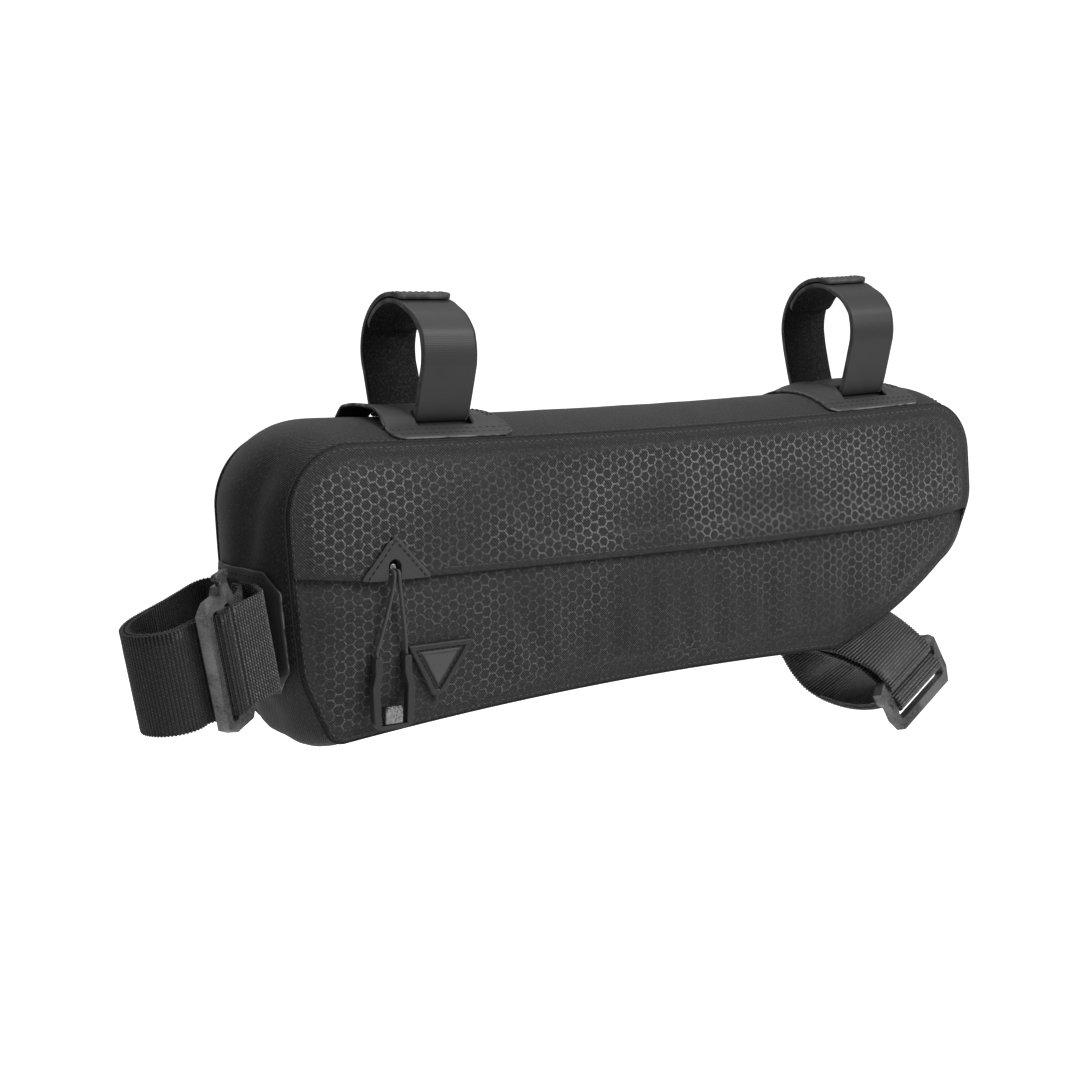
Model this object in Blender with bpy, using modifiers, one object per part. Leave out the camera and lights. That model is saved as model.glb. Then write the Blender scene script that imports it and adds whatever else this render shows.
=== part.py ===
"""Bicycle frame bag: a padded half-frame bag with two top-tube loops, a seat-tube strap and a down-tube strap.

Frame: metres, +Z up, +X to the front of the bicycle, the zip side faces -Y. The origin is on the axis of
the top tube, midway between the two top loops.
"""

import math

import bmesh
import bpy
import numpy as np
from mathutils import Vector

MM = 0.001

# Bag body
BAG_LENGTH = 362 * MM
BAG_HEIGHT = 114.5 * MM
BAG_WIDTH = 60 * MM
CLOTH_THICKNESS = 1.6 * MM
CORNER_RADIUS = 3 * MM
LAP_WIDTH = 5 * MM
PANEL_BULGE = 4.5 * MM
BULGE_RISE = 30 * MM
SEWN_GAP = 0.3 * MM

# Flap and zip
FLAP_OVERLAP = 4 * MM
FLAP_FADE = 12 * MM
ZIP_WIDTH = 9 * MM
ZIP_THICKNESS = 1.2 * MM
SLIDER_WIDTH = 3.6 * MM
SLIDER_HEIGHT = 4.4 * MM
SLIDER_THICKNESS = 2.4 * MM
GARAGE_WIDTH = 30 * MM
GARAGE_HEIGHT = 17 * MM
PATCH_THICKNESS = 1.2 * MM
NOTCH_WIDTH = 5.6 * MM
NOTCH_HEIGHT = 8 * MM

# Pull and badge
CORD_DIAMETER = 1.5 * MM
CORD_LENGTH_DROP = 29.5 * MM
HANDLE_WIDTH = 19 * MM
HANDLE_HEIGHT = 28 * MM
HANDLE_THICKNESS = 3.4 * MM
HANDLE_ARM = 3.2 * MM
CRIMP_WIDTH = 8 * MM
CRIMP_HEIGHT = 7 * MM
BADGE_WIDTH = 30 * MM
BADGE_HEIGHT = 24 * MM
BADGE_THICKNESS = 1.8 * MM

# Top loops
LOOP_SPACING = 225 * MM
REAR_LOOP_OFFSET = 78.5 * MM
LOOP_RADIUS = 22.8 * MM
LOOP_STRAP_WIDTH = 25 * MM
LOOP_STRAP_THICKNESS = 1.8 * MM
FRONT_LOOP_RISE = 2.5 * MM
ANCHOR_LENGTH = 56 * MM
ANCHOR_SPAN = 54 * MM
ANCHOR_ARCH = 4 * MM
SLIT_WIDTH = 6.6 * MM

# Webbing straps and buckles
WEBBING_WIDTH = 38 * MM
WEBBING_THICKNESS = 1.6 * MM
SEAT_LOOP_DEPTH = 57 * MM
SEAT_STRAP_LEAN = math.radians(10.8)
SEAT_PATCH_HEIGHT = 46 * MM
SEAT_PATCH_WIDTH = 49 * MM
DOWN_LOOP_DEPTH = 35 * MM
DOWN_STRAP_LEAN = math.radians(57)
DOWN_STRAP_YAW = math.radians(16)
DOWN_STRAP_DIP = math.radians(11)
BUCKLE_BAR = 4.5 * MM
BUCKLE_CHAMFER = 1 * MM
BUCKLE_SIDE = 4 * MM

# Clearances
SEAT_GAP = 0.3 * MM
LAYER_GAP = 0.5 * MM

# Corners of the side outline: along the length from the rear, down from the top seam, corner radius and
# outward bow of the edge that follows, the last three as shares of the bag's height
OUTLINE_CORNERS = (
    # (along, down, radius, bow)
    (0.000, 0.000, 0.236, -0.022),
    (0.988, 0.000, 0.210, 0.000),
    (1.000, 0.384, 0.175, 0.000),
    (0.971, 0.594, 0.218, 0.030),
    (0.775, 0.926, 0.131, -0.037),
    (0.055, 1.000, 0.070, 0.000),
    (0.019, 0.769, 0.262, 0.004),
)

# How far the band crowns beyond the seams at its middle, as shares of the bag's width
CROWN_STATIONS = (
    # (along the outline from the rear top corner, crown)
    (0.00, 0.115),
    (0.06, 0.125),
    (0.38, 0.125),
    (0.46, 0.090),
    (0.52, 0.060),
    (0.60, 0.060),
    (0.84, 0.055),
    (0.90, 0.090),
    (0.96, 0.120),
    (1.00, 0.115),
)

# Soft creases pressed into the band: each runs between two places and has a depth and a half width
CREASES = (
    # (along start, across start, along end, across end, depth, half width)
    (0.035, -0.28, -0.030, -0.02, 0.050, 0.13),
    (0.350, -0.10, 0.372, 0.16, 0.016, 0.12),
    (-0.115, 0.22, -0.075, -0.16, 0.018, 0.12),
)

# Line of the flap's edge: down from the top seam, as shares of the bag's height
FLAP_LINE = (
    # (along, down)
    (0.00, 0.425),
    (0.10, 0.456),
    (0.35, 0.464),
    (0.65, 0.467),
    (0.82, 0.460),
    (1.00, 0.425),
)

# Heights of the anchor patch's tunnel, as shares of the arch height
TUNNEL_SECTIONS = (
    # (along the patch from its rear end, rise)
    (0.00, 1.00),
    (0.18, 0.78),
    (0.30, 0.62),
    (0.74, 0.60),
    (0.90, 0.00),
    (1.00, 0.00),
)

# Route of the seat-tube strap from its sewn run round the tube to the buckle. Out is a share of the loop's
# depth, across a share of the bag's width, and the last column turns it from the bag's end to the tube
SEAT_ROUTE = (
    # (out, across, turn)
    (0.000, -0.04, 0.00),
    (0.000, 0.06, 0.00),
    (0.008, 0.17, 0.10),
    (0.060, 0.235, 0.25),
    (0.150, 0.225, 0.40),
    (0.300, 0.130, 0.65),
    (0.480, 0.020, 0.85),
    (0.660, -0.075, 1.00),
    (0.820, -0.175, 1.00),
    (0.940, -0.310, 1.00),
    (0.990, -0.450, 1.00),
    (0.960, -0.580, 1.00),
    (0.870, -0.675, 1.00),
    (0.750, -0.702, 1.00),
    (0.640, -0.648, 1.00),
)

# Route of the down-tube strap, in the same terms
DOWN_ROUTE = (
    # (out, across, turn)
    (-0.003, 0.06, 0.00),
    (-0.018, 0.15, 0.00),
    (0.010, 0.235, 0.00),
    (0.130, 0.290, 0.00),
    (0.340, 0.300, 0.05),
    (0.600, 0.290, 0.15),
    (0.820, 0.230, 0.25),
    (0.950, 0.105, 0.40),
    (1.000, -0.060, 0.60),
    (0.985, -0.230, 0.80),
    (0.920, -0.390, 0.95),
    (0.840, -0.520, 1.00),
    (0.800, -0.620, 1.00),
)

# Routes of a tab's two layers, the outer from the bag to the buckle's bar and the inner back again, as
# shares of the way to the bar
TAB_OUTER = (
    # (out, across, turn)
    (0.00, 0.16, 0.00),
    (0.00, 0.30, 0.00),
    (0.03, 0.44, 0.05),
    (0.22, 0.60, 0.45),
    (0.62, 0.85, 1.00),
)
TAB_INNER = (
    # (out, across, turn)
    (0.74, 0.82, 1.00),
    (0.30, 0.60, 0.50),
    (0.06, 0.38, 0.05),
    (0.00, 0.26, 0.00),
    (0.00, 0.14, 0.00),
)


def smoothstep(t):
    """Eased 0 to 1 ramp."""
    t = np.clip(t, 0.0, 1.0)
    return t * t * (3 - 2 * t)


def column(table, index):
    """One column of a table as an array."""
    return np.array([row[index] for row in table])


class Outline:
    """Rounded side outline of the bag in the XZ plane, walked from the rear top corner over the top."""

    EDGE_STEP = 19 * MM
    ARC_STEP = math.radians(12.5)

    def __init__(self):
        corners = [
            np.array((REAR_X + along * BAG_LENGTH, TOP_SEAM_Z - down * BAG_HEIGHT))
            for along, down, _, _ in OUTLINE_CORNERS
        ]
        radii = column(OUTLINE_CORNERS, 2) * BAG_HEIGHT
        bows = column(OUTLINE_CORNERS, 3) * BAG_HEIGHT
        arcs = [
            self.corner_arc(corners[i - 1], corner, corners[(i + 1) % len(corners)], radii[i])
            for i, corner in enumerate(corners)
        ]
        points = []
        for i, arc in enumerate(arcs):
            points.extend(arc)
            points.extend(self.bowed_edge(arc[-1], arcs[(i + 1) % len(arcs)][0], bows[i]))
        self.points = np.array(points)
        ahead = np.roll(self.points, -1, axis=0)
        behind = np.roll(self.points, 1, axis=0)
        along = ahead - behind
        along /= np.linalg.norm(along, axis=1)[:, None]
        self.normals = np.column_stack((-along[:, 1], along[:, 0]))
        steps = np.linalg.norm(ahead - self.points, axis=1)
        self.length = steps.sum()
        self.run = np.concatenate(([0.0], np.cumsum(steps)[:-1]))

    def corner_arc(self, before, corner, after, radius):
        """Points of the arc that rounds one corner."""
        incoming = (corner - before) / np.linalg.norm(corner - before)
        outgoing = (after - corner) / np.linalg.norm(after - corner)
        turn = math.acos(float(np.clip(incoming @ outgoing, -1, 1)))
        reach = radius * math.tan(turn / 2)
        inward = np.array((incoming[1], -incoming[0]))
        centre = corner - incoming * reach + inward * radius
        count = max(2, round(turn / self.ARC_STEP))
        angles = np.linspace(0, turn, count + 1)
        return [
            centre - inward * radius * math.cos(a) + incoming * radius * math.sin(a) for a in angles
        ]

    def bowed_edge(self, start, end, bow):
        """Points between two corners, bowed outwards."""
        span = end - start
        count = max(2, round(np.linalg.norm(span) / self.EDGE_STEP))
        outward = np.array((-span[1], span[0])) / np.linalg.norm(span)
        shares = np.arange(1, count) / count
        return [start + span * t + outward * bow * 4 * t * (1 - t) for t in shares]

    def at(self, run):
        """Point and outward normal at a distance along the outline."""
        run = np.mod(run, self.length)
        runs = np.append(self.run, self.length)
        values = []
        for array in (self.points, self.normals):
            closed = np.vstack((array, array[:1]))
            values.append(np.column_stack([np.interp(run, runs, closed[:, k]) for k in (0, 1)]))
        point, normal = values
        return point, normal / np.linalg.norm(normal, axis=1)[:, None]

    def run_at(self, axis, value, low, high):
        """Distance along the outline, between two shares of it, where a coordinate takes a value."""
        runs = np.linspace(low * self.length, high * self.length, 400)
        point, _ = self.at(runs)
        return float(runs[np.argmin(np.abs(point[:, axis] - value))])

    def depth_inside(self, xz):
        """Distance of points from the outline."""
        start = self.points
        span = np.roll(self.points, -1, axis=0) - start
        rel = xz[:, None, :] - start[None, :, :]
        share = np.clip((rel * span).sum(-1) / (span * span).sum(-1), 0, 1)
        nearest = start + share[..., None] * span
        return np.linalg.norm(xz[:, None, :] - nearest, axis=-1).min(axis=1)


HALF_WIDTH = BAG_WIDTH / 2
TOP_CROWN = BAG_WIDTH * 0.125
REAR_X = -LOOP_SPACING / 2 - REAR_LOOP_OFFSET
TOP_SEAM_Z = -(LOOP_RADIUS + LOOP_STRAP_THICKNESS / 2 + SEAT_GAP + TOP_CROWN)
OUTLINE = Outline()
PANEL_INSET = LAP_WIDTH + SEWN_GAP
TUCK = CLOTH_THICKNESS + LAYER_GAP


def crown_profile(across):
    """Share of the crown at a place across the band, 1 at its middle."""
    flat = HALF_WIDTH - CORNER_RADIUS
    return np.clip(1 - (np.abs(across) / flat) ** 2.2, 0, 1)


def crease_depth(run, across):
    """How far the creases press the band inwards."""
    share = np.mod(run / OUTLINE.length + 0.5, 1.0) - 0.5
    place = np.column_stack((share * OUTLINE.length, across))
    depth = np.zeros(len(place))
    for a0, c0, a1, c1, deep, half in CREASES:
        start = np.array((a0 * OUTLINE.length, c0 * BAG_WIDTH))
        span = np.array((a1 * OUTLINE.length, c1 * BAG_WIDTH)) - start
        rel = place - start
        t = np.clip(rel @ span / (span @ span), 0, 1)
        off = np.linalg.norm(rel - t[:, None] * span, axis=1)
        ends = smoothstep(t / 0.3) * smoothstep((1 - t) / 0.3)
        depth += deep * BAG_WIDTH * ends * np.exp(-((off / (half * BAG_WIDTH)) ** 2))
    return depth


def band_surface(run, across, lift=0.0):
    """Points on the outer face of the gusset band, lifted off it by a distance."""
    run = np.atleast_1d(np.asarray(run, float))
    across = np.broadcast_to(np.asarray(across, float), run.shape)
    point, normal = OUTLINE.at(run)
    shares = np.mod(run / OUTLINE.length, 1.0)
    crown = np.interp(shares, column(CROWN_STATIONS, 0), column(CROWN_STATIONS, 1)) * BAG_WIDTH
    out = crown * crown_profile(across) - crease_depth(run, across) + lift
    xz = point + normal * out[:, None]
    return np.column_stack((xz[:, 0], across, xz[:, 1]))


def flap_z(x):
    """Height of the flap's edge at a place along the bag."""
    share = (x - REAR_X) / BAG_LENGTH
    return TOP_SEAM_Z - np.interp(share, column(FLAP_LINE, 0), column(FLAP_LINE, 1)) * BAG_HEIGHT


def side_bulge(xz):
    """How far a side panel stands out beyond its edge at places in the side view."""
    rise = np.clip((OUTLINE.depth_inside(xz) - PANEL_INSET) / BULGE_RISE, 0, 1)
    return PANEL_BULGE * (1 - (1 - rise) ** 2) ** 0.8


def upper_depth(xz):
    """Distance of the upper panel's outer face from the middle plane."""
    return HALF_WIDTH + side_bulge(xz)


def lower_depth(xz):
    """Distance of the lower panel's outer face from the middle plane, tucked in under the flap."""
    below = flap_z(xz[:, 0]) - xz[:, 1]
    return HALF_WIDTH + side_bulge(xz) - TUCK * smoothstep(1 - below / FLAP_FADE)


def coons(bottom, top, left, right, heights):
    """Grid of points between four boundary lines that share their corners, with rows at given shares."""
    u = np.linspace(0, 1, len(bottom))[:, None, None]
    v = np.asarray(heights)[None, :, None]
    across = (1 - v) * bottom[:, None, :] + v * top[:, None, :]
    upward = (1 - u) * left[None, :, :] + u * right[None, :, :]
    corner = (
        (1 - u) * (1 - v) * bottom[0] + u * (1 - v) * bottom[-1] + (1 - u) * v * top[0] + u * v * top[-1]
    )
    return across + upward - corner


def inset_line(run_start, run_end, shares):
    """Points on the panel's edge line at shares of the way between two distances along the outline."""
    point, normal = OUTLINE.at(run_start + (run_end - run_start) * np.asarray(shares))
    return point - normal * PANEL_INSET


def edge_run_at_line(line, low, high):
    """Distance along the outline where the panel's edge line crosses a height line."""
    runs = np.linspace(low * OUTLINE.length, high * OUTLINE.length, 400)
    point, normal = OUTLINE.at(runs)
    edge = point - normal * PANEL_INSET
    return float(runs[np.argmin(np.abs(edge[:, 1] - line(edge[:, 0])))])


def material(name, colour, roughness, metallic=0.0):
    """A plain Principled material."""
    made = bpy.data.materials.new(name)
    made.use_nodes = True
    shader = made.node_tree.nodes["Principled BSDF"]
    shader.inputs["Base Color"].default_value = (*colour, 1.0)
    shader.inputs["Roughness"].default_value = roughness
    shader.inputs["Metallic"].default_value = metallic
    return made


def add_object(name, mesh, look):
    """Links a mesh as a named sub-part."""
    piece = bpy.data.objects.new(name, mesh)
    PARTS.objects.link(piece)
    mesh.materials.append(look)
    return piece


def grid_mesh(name, grid, wrap=False):
    """Mesh of quads through a grid of points, closed round its first direction if wrapped."""
    rows, cols = grid.shape[:2]
    mesh = bpy.data.meshes.new(name)
    bm = bmesh.new()
    verts = [[bm.verts.new(grid[i, j]) for j in range(cols)] for i in range(rows)]
    for i in range(rows if wrap else rows - 1):
        for j in range(cols - 1):
            k = (i + 1) % rows
            bm.faces.new((verts[i][j], verts[k][j], verts[k][j + 1], verts[i][j + 1]))
    bm.to_mesh(mesh)
    bm.free()
    return mesh


def flip_towards(mesh, outward):
    """Turns an open sheet's faces so that most of them face outwards as the function says."""
    bm = bmesh.new()
    bm.from_mesh(mesh)
    facing = sum(f.normal.dot(Vector(outward(f.calc_center_median()))) * f.calc_area() for f in bm.faces)
    if facing < 0:
        bmesh.ops.reverse_faces(bm, faces=bm.faces)
    bm.to_mesh(mesh)
    bm.free()


def shell(name, grid, thickness, look, outward, offset=-1.0, wrap=False):
    """Open sheet given a wall: offset -1 grows it inwards, 1 outwards and 0 both ways."""
    mesh = grid_mesh(name, grid, wrap)
    flip_towards(mesh, outward)
    piece = add_object(name, mesh, look)
    solidify = piece.modifiers.new("wall", "SOLIDIFY")
    solidify.thickness = thickness
    solidify.offset = offset
    solidify.use_even_offset = True
    return piece


def cut(piece, cutter):
    """Takes a cutter's shape out of a piece."""
    boolean = piece.modifiers.new("cut", "BOOLEAN")
    boolean.operation = "DIFFERENCE"
    boolean.solver = "EXACT"
    boolean.object = cutter


def box_cutter(name, centre, size):
    """Box that cuts other pieces."""
    bpy.ops.mesh.primitive_cube_add(size=1, location=centre)
    box = bpy.context.object
    box.name = name
    box.scale = size
    move_to_cutters(box)
    return box


def move_to_cutters(piece):
    """Keeps a cutter out of the parts."""
    for holder in list(piece.users_collection):
        holder.objects.unlink(piece)
    CUTTERS.objects.link(piece)
    piece.hide_render = True
    piece.display_type = "WIRE"


def smooth_route(points, step, places=3):
    """Evenly spaced rows on a smooth curve through the given ones, whose first columns are the place."""
    points = np.asarray(points, float)
    padded = np.vstack((2 * points[0] - points[1], points, 2 * points[-1] - points[-2]))
    fine = []
    for i in range(1, len(padded) - 2):
        p0, p1, p2, p3 = padded[i - 1 : i + 3]
        for t in np.linspace(0, 1, 12, endpoint=False):
            fine.append(
                0.5 * (2 * p1 + (p2 - p0) * t + (2 * p0 - 5 * p1 + 4 * p2 - p3) * t**2
                       + (3 * p1 - p0 - 3 * p2 + p3) * t**3)
            )
    fine.append(points[-1])
    fine = np.array(fine)
    run = np.concatenate(([0], np.cumsum(np.linalg.norm(np.diff(fine[:, :places], axis=0), axis=1))))
    count = max(2, round(run[-1] / step))
    even = np.linspace(0, run[-1], count + 1)
    return np.column_stack([np.interp(even, run, fine[:, k]) for k in range(fine.shape[1])])


def ribbon(name, centres, widthways, width, thickness, look):
    """Flat strap along centre points, each with its own direction across the strap."""
    centres = np.asarray(centres)
    side = np.asarray(widthways) * (width / 2)
    grid = np.stack((centres - side, centres + side), axis=1)
    mesh = grid_mesh(name, grid)
    piece = add_object(name, mesh, look)
    solidify = piece.modifiers.new("webbing", "SOLIDIFY")
    solidify.thickness = thickness
    solidify.offset = 0.0
    solidify.use_even_offset = True
    return piece


def build_band(look):
    """Closed band with its laps over the two sides."""
    flat = HALF_WIDTH - CORNER_RADIUS
    turn = np.linspace(0, math.pi / 2, 3)
    lap = [(LAP_WIDTH, HALF_WIDTH)]
    lap += [
        (CORNER_RADIUS * (1 - math.sin(a)), flat + CORNER_RADIUS * math.cos(a)) for a in turn
    ]
    crowned = [(0.0, flat * share) for share in (0.78, 0.42, 0.0)]
    half = lap + crowned
    profile = [(inset, -across) for inset, across in half] + [row for row in reversed(half[:-1])]
    rows = []
    for inset, across in profile:
        surface = band_surface(OUTLINE.run, across)
        _, normal = OUTLINE.at(OUTLINE.run)
        surface[:, 0] -= normal[:, 0] * inset
        surface[:, 2] -= normal[:, 1] * inset
        rows.append(surface)
    grid = np.stack(rows, axis=1)
    centre = OUTLINE.points.mean(axis=0)

    def outward(p):
        return (p.x - centre[0], p.y * 3, p.z - centre[1])

    return shell("gusset_band", grid, CLOTH_THICKNESS, look, outward, wrap=True)


def panel_sheet(grid_xz, depth, side):
    """Lifts a grid of side-view points to a panel's outer face."""
    flat = grid_xz.reshape(-1, 2)
    y = side * depth(flat)
    return np.column_stack((flat[:, 0], y, flat[:, 1])).reshape(*grid_xz.shape[:2], 3)


def build_side_panels(look, plain_look):
    """Upper panel with its flap edge, lower panel tucked under it, and the whole far panel."""
    length = OUTLINE.length
    rear_mid = OUTLINE.run_at(0, REAR_X + BAG_LENGTH * 0.03, 0.0, 0.2)
    nose_mid = OUTLINE.run_at(0, REAR_X + BAG_LENGTH * 0.965, 0.3, 0.45)

    def lifted_line(rise):
        return lambda x: flap_z(x) + rise

    def between(rise):
        rear = edge_run_at_line(lifted_line(rise), 0.85, 0.999)
        nose = edge_run_at_line(lifted_line(rise), 0.36, 0.55)
        return rear, nose

    def crossing(rise, shares):
        rear, nose = between(rise)
        first, last = inset_line(rear, nose, (0, 1))
        x = first[0] + (last[0] - first[0]) * shares
        z = flap_z(x) + rise
        z[0], z[-1] = first[1], last[1]
        return np.column_stack((x, z))

    along = np.linspace(0, 1, 26)
    tall = np.array((0.0, 0.10, 0.24, 0.42, 0.62, 0.82, 1.0))
    rear, nose = between(0.0)
    bottom = crossing(0.0, along)
    top = inset_line(rear_mid, nose_mid, along)
    left = inset_line(rear, rear_mid + length, tall)
    right = inset_line(nose, nose_mid, tall)
    upper = shell(
        "side_panel_upper", panel_sheet(coons(bottom, top, left, right, tall), upper_depth, -1),
        CLOTH_THICKNESS, look, lambda p: (0, -1, 0),
    )

    low_rear = OUTLINE.run_at(0, REAR_X + BAG_LENGTH * 0.05, 0.8, 0.95)
    low_nose = OUTLINE.run_at(0, REAR_X + BAG_LENGTH * 0.80, 0.42, 0.6)
    tall = np.array((0.0, 0.13, 0.32, 0.54, 0.74, 0.88, 1.0))
    bottom = inset_line(low_rear, low_nose, along)
    left = inset_line(low_rear, rear, tall)
    right = inset_line(low_nose, nose, tall)
    seen = coons(bottom, crossing(0.0, along), left, right, tall)
    tucked = crossing(FLAP_OVERLAP, along)[:, None, :]
    lower = shell(
        "side_panel_lower", panel_sheet(np.concatenate((seen, tucked), axis=1), lower_depth, -1),
        CLOTH_THICKNESS, look, lambda p: (0, -1, 0),
    )

    tall = np.linspace(0, 1, 8)
    left = inset_line(low_rear, rear_mid + length, tall)
    right = inset_line(low_nose, nose_mid, tall)
    far = shell(
        "side_panel_back", panel_sheet(coons(bottom, top, left, right, tall), upper_depth, 1),
        CLOTH_THICKNESS, plain_look, lambda p: (0, 1, 0),
    )
    return upper, lower, far


def build_zip(look):
    """Closed zip chain on its tape, behind the flap and above the lower panel's edge."""
    low = FLAP_OVERLAP + SEAT_GAP
    high = low + ZIP_WIDTH
    rear = edge_run_at_line(lambda x: flap_z(x) + high, 0.85, 0.999)
    nose = edge_run_at_line(lambda x: flap_z(x) + high, 0.36, 0.5)
    first, last = inset_line(rear, nose, (0, 1))
    x = np.linspace(first[0] + CORNER_RADIUS, last[0] - CORNER_RADIUS, 27)
    rows = [np.column_stack((x, flap_z(x) + rise)) for rise in (low, (low + high) / 2, high)]
    grid_xz = np.stack(rows, axis=1)

    def depth(xz):
        return HALF_WIDTH + side_bulge(xz) - TUCK - SEAT_GAP

    sheet = panel_sheet(grid_xz, depth, -1)
    return shell("zip_strip", sheet, ZIP_THICKNESS, look, lambda p: (0, -1, 0))


GARAGE_X = REAR_X + BAG_LENGTH * 0.126
NOTCH_X = GARAGE_X - GARAGE_WIDTH * 0.04
BADGE_X = REAR_X + BAG_LENGTH * 0.179
BADGE_TOP_Z = TOP_SEAM_Z - BAG_HEIGHT * 0.685


def rounded_triangle(z_share, round_share):
    """Half width share of a triangle, 1 at its base and 0 at its tip, whose corners are rounded."""
    straight = 1 - z_share
    tip = np.sqrt(np.clip(round_share**2 - (z_share - 1 + round_share) ** 2, 0, None))
    near_tip = np.where(z_share > 1 - round_share, np.minimum(tip * 0.62, straight + 0.04), straight + 0.04)
    base = np.sqrt(np.clip(round_share**2 - (round_share - z_share) ** 2, 0, None)) - round_share
    near_base = np.where(z_share < round_share, base * 0.6, 0.0)
    return np.clip(near_tip + near_base, 0.02, None)


def triangle_patch(name, base_z, height, width, centre_x, lean, depth, thickness, look, rounding):
    """Triangular patch laid on the side: height is negative where the tip points down."""
    shares = np.concatenate((np.linspace(0, 0.16, 4), np.linspace(0.3, 0.84, 5), (0.92, 0.97, 1.0)))
    cols = np.linspace(-1, 1, 7)
    half = rounded_triangle(shares, rounding) * width / 2
    x = centre_x + lean * shares[:, None] + half[:, None] * cols[None, :]
    base = base_z(x) if callable(base_z) else np.full_like(x, base_z)
    z = base + height * shares[:, None]
    grid_xz = np.stack((x, z), axis=2)
    sheet = panel_sheet(grid_xz, lambda xz: depth(xz) + SEAT_GAP, -1)
    return shell(name, sheet, thickness, look, lambda p: (0, -1, 0), offset=1.0)


def build_garage_and_slider(upper, garage_look, slider_look):
    """Patch over the zip's end with its notch, cut through the flap too, and the slider in the notch."""
    garage = triangle_patch(
        "zip_garage", flap_z, GARAGE_HEIGHT, GARAGE_WIDTH, GARAGE_X, -GARAGE_WIDTH * 0.03,
        upper_depth, PATCH_THICKNESS, garage_look, 0.12,
    )
    edge = float(flap_z(NOTCH_X))
    round_z = edge + NOTCH_HEIGHT - NOTCH_WIDTH / 2
    depth = 4 * (CLOTH_THICKNESS + PATCH_THICKNESS + LAYER_GAP)
    face = -float(upper_depth(np.array([[NOTCH_X, round_z]]))[0])
    bpy.ops.mesh.primitive_cylinder_add(
        vertices=16, radius=NOTCH_WIDTH / 2, depth=depth,
        location=(NOTCH_X, face, round_z), rotation=(math.pi / 2, 0, 0),
    )
    arch = bpy.context.object
    arch.name = "notch_arch"
    move_to_cutters(arch)
    drop = round_z - edge + CLOTH_THICKNESS
    slot = box_cutter("notch_slot", (NOTCH_X, face, round_z - drop / 2), (NOTCH_WIDTH, depth, drop))
    for piece in (garage, upper):
        cut(piece, arch)
        cut(piece, slot)

    bpy.ops.mesh.primitive_cube_add(
        size=1,
        location=(NOTCH_X, SLIDER_FACE_Y + SLIDER_THICKNESS / 2, SLIDER_Z),
    )
    slider = bpy.context.object
    slider.name = "zip_slider"
    slider.scale = (SLIDER_WIDTH, SLIDER_THICKNESS, SLIDER_HEIGHT)
    bpy.ops.object.transform_apply(location=False, rotation=False, scale=True)
    bevel = slider.modifiers.new("edges", "BEVEL")
    bevel.width = SLIDER_THICKNESS * 0.22
    bevel.segments = 2
    adopt(slider, slider_look)
    return garage, slider


def adopt(piece, look):
    """Moves a primitive into the parts with its material."""
    for holder in list(piece.users_collection):
        holder.objects.unlink(piece)
    PARTS.objects.link(piece)
    piece.data.materials.append(look)


SLIDER_Z = float(flap_z(NOTCH_X)) + NOTCH_HEIGHT - NOTCH_WIDTH / 2 - SLIDER_HEIGHT * 0.30
SLIDER_FACE_Y = -(
    float(upper_depth(np.array([[NOTCH_X, SLIDER_Z]]))[0]) - TUCK + SLIDER_THICKNESS
)
HANDLE_Y = -(HALF_WIDTH + PANEL_BULGE + SEAT_GAP + HANDLE_THICKNESS / 2)
HANDLE_X = NOTCH_X - NOTCH_WIDTH * 0.40
HANDLE_TOP_Z = float(flap_z(NOTCH_X)) - CORD_LENGTH_DROP + SEAT_GAP


def flat_shape(name, loops, thickness, bevel, look, to_world):
    """Flat outline, with holes where more loops are given, thickened and its edges bevelled."""
    curve = bpy.data.curves.new(name, "CURVE")
    curve.dimensions = "2D"
    curve.fill_mode = "BOTH"
    curve.extrude = thickness / 2
    for loop in loops:
        spline = curve.splines.new("POLY")
        spline.points.add(len(loop) - 1)
        for point, (u, v) in zip(spline.points, loop):
            point.co = (u, v, 0, 1)
        spline.use_cyclic_u = True
    guide = bpy.data.objects.new(name + "_outline", curve)
    bpy.context.scene.collection.objects.link(guide)
    bpy.context.view_layer.update()
    seen = guide.evaluated_get(bpy.context.evaluated_depsgraph_get())
    mesh = bpy.data.meshes.new_from_object(seen)
    bpy.data.objects.remove(guide)
    bm = bmesh.new()
    bm.from_mesh(mesh)
    bmesh.ops.remove_doubles(bm, verts=bm.verts, dist=0.00001)
    for vert in bm.verts:
        vert.co = Vector(to_world(np.array(vert.co)))
    bm.normal_update()
    bmesh.ops.recalc_face_normals(bm, faces=bm.faces)
    mesh.materials.clear()
    bm.to_mesh(mesh)
    bm.free()
    mesh.name = name
    piece = add_object(name, mesh, look)
    chamfer = piece.modifiers.new("chamfer", "BEVEL")
    chamfer.width = bevel
    chamfer.segments = 1
    chamfer.limit_method = "ANGLE"
    return piece


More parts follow.
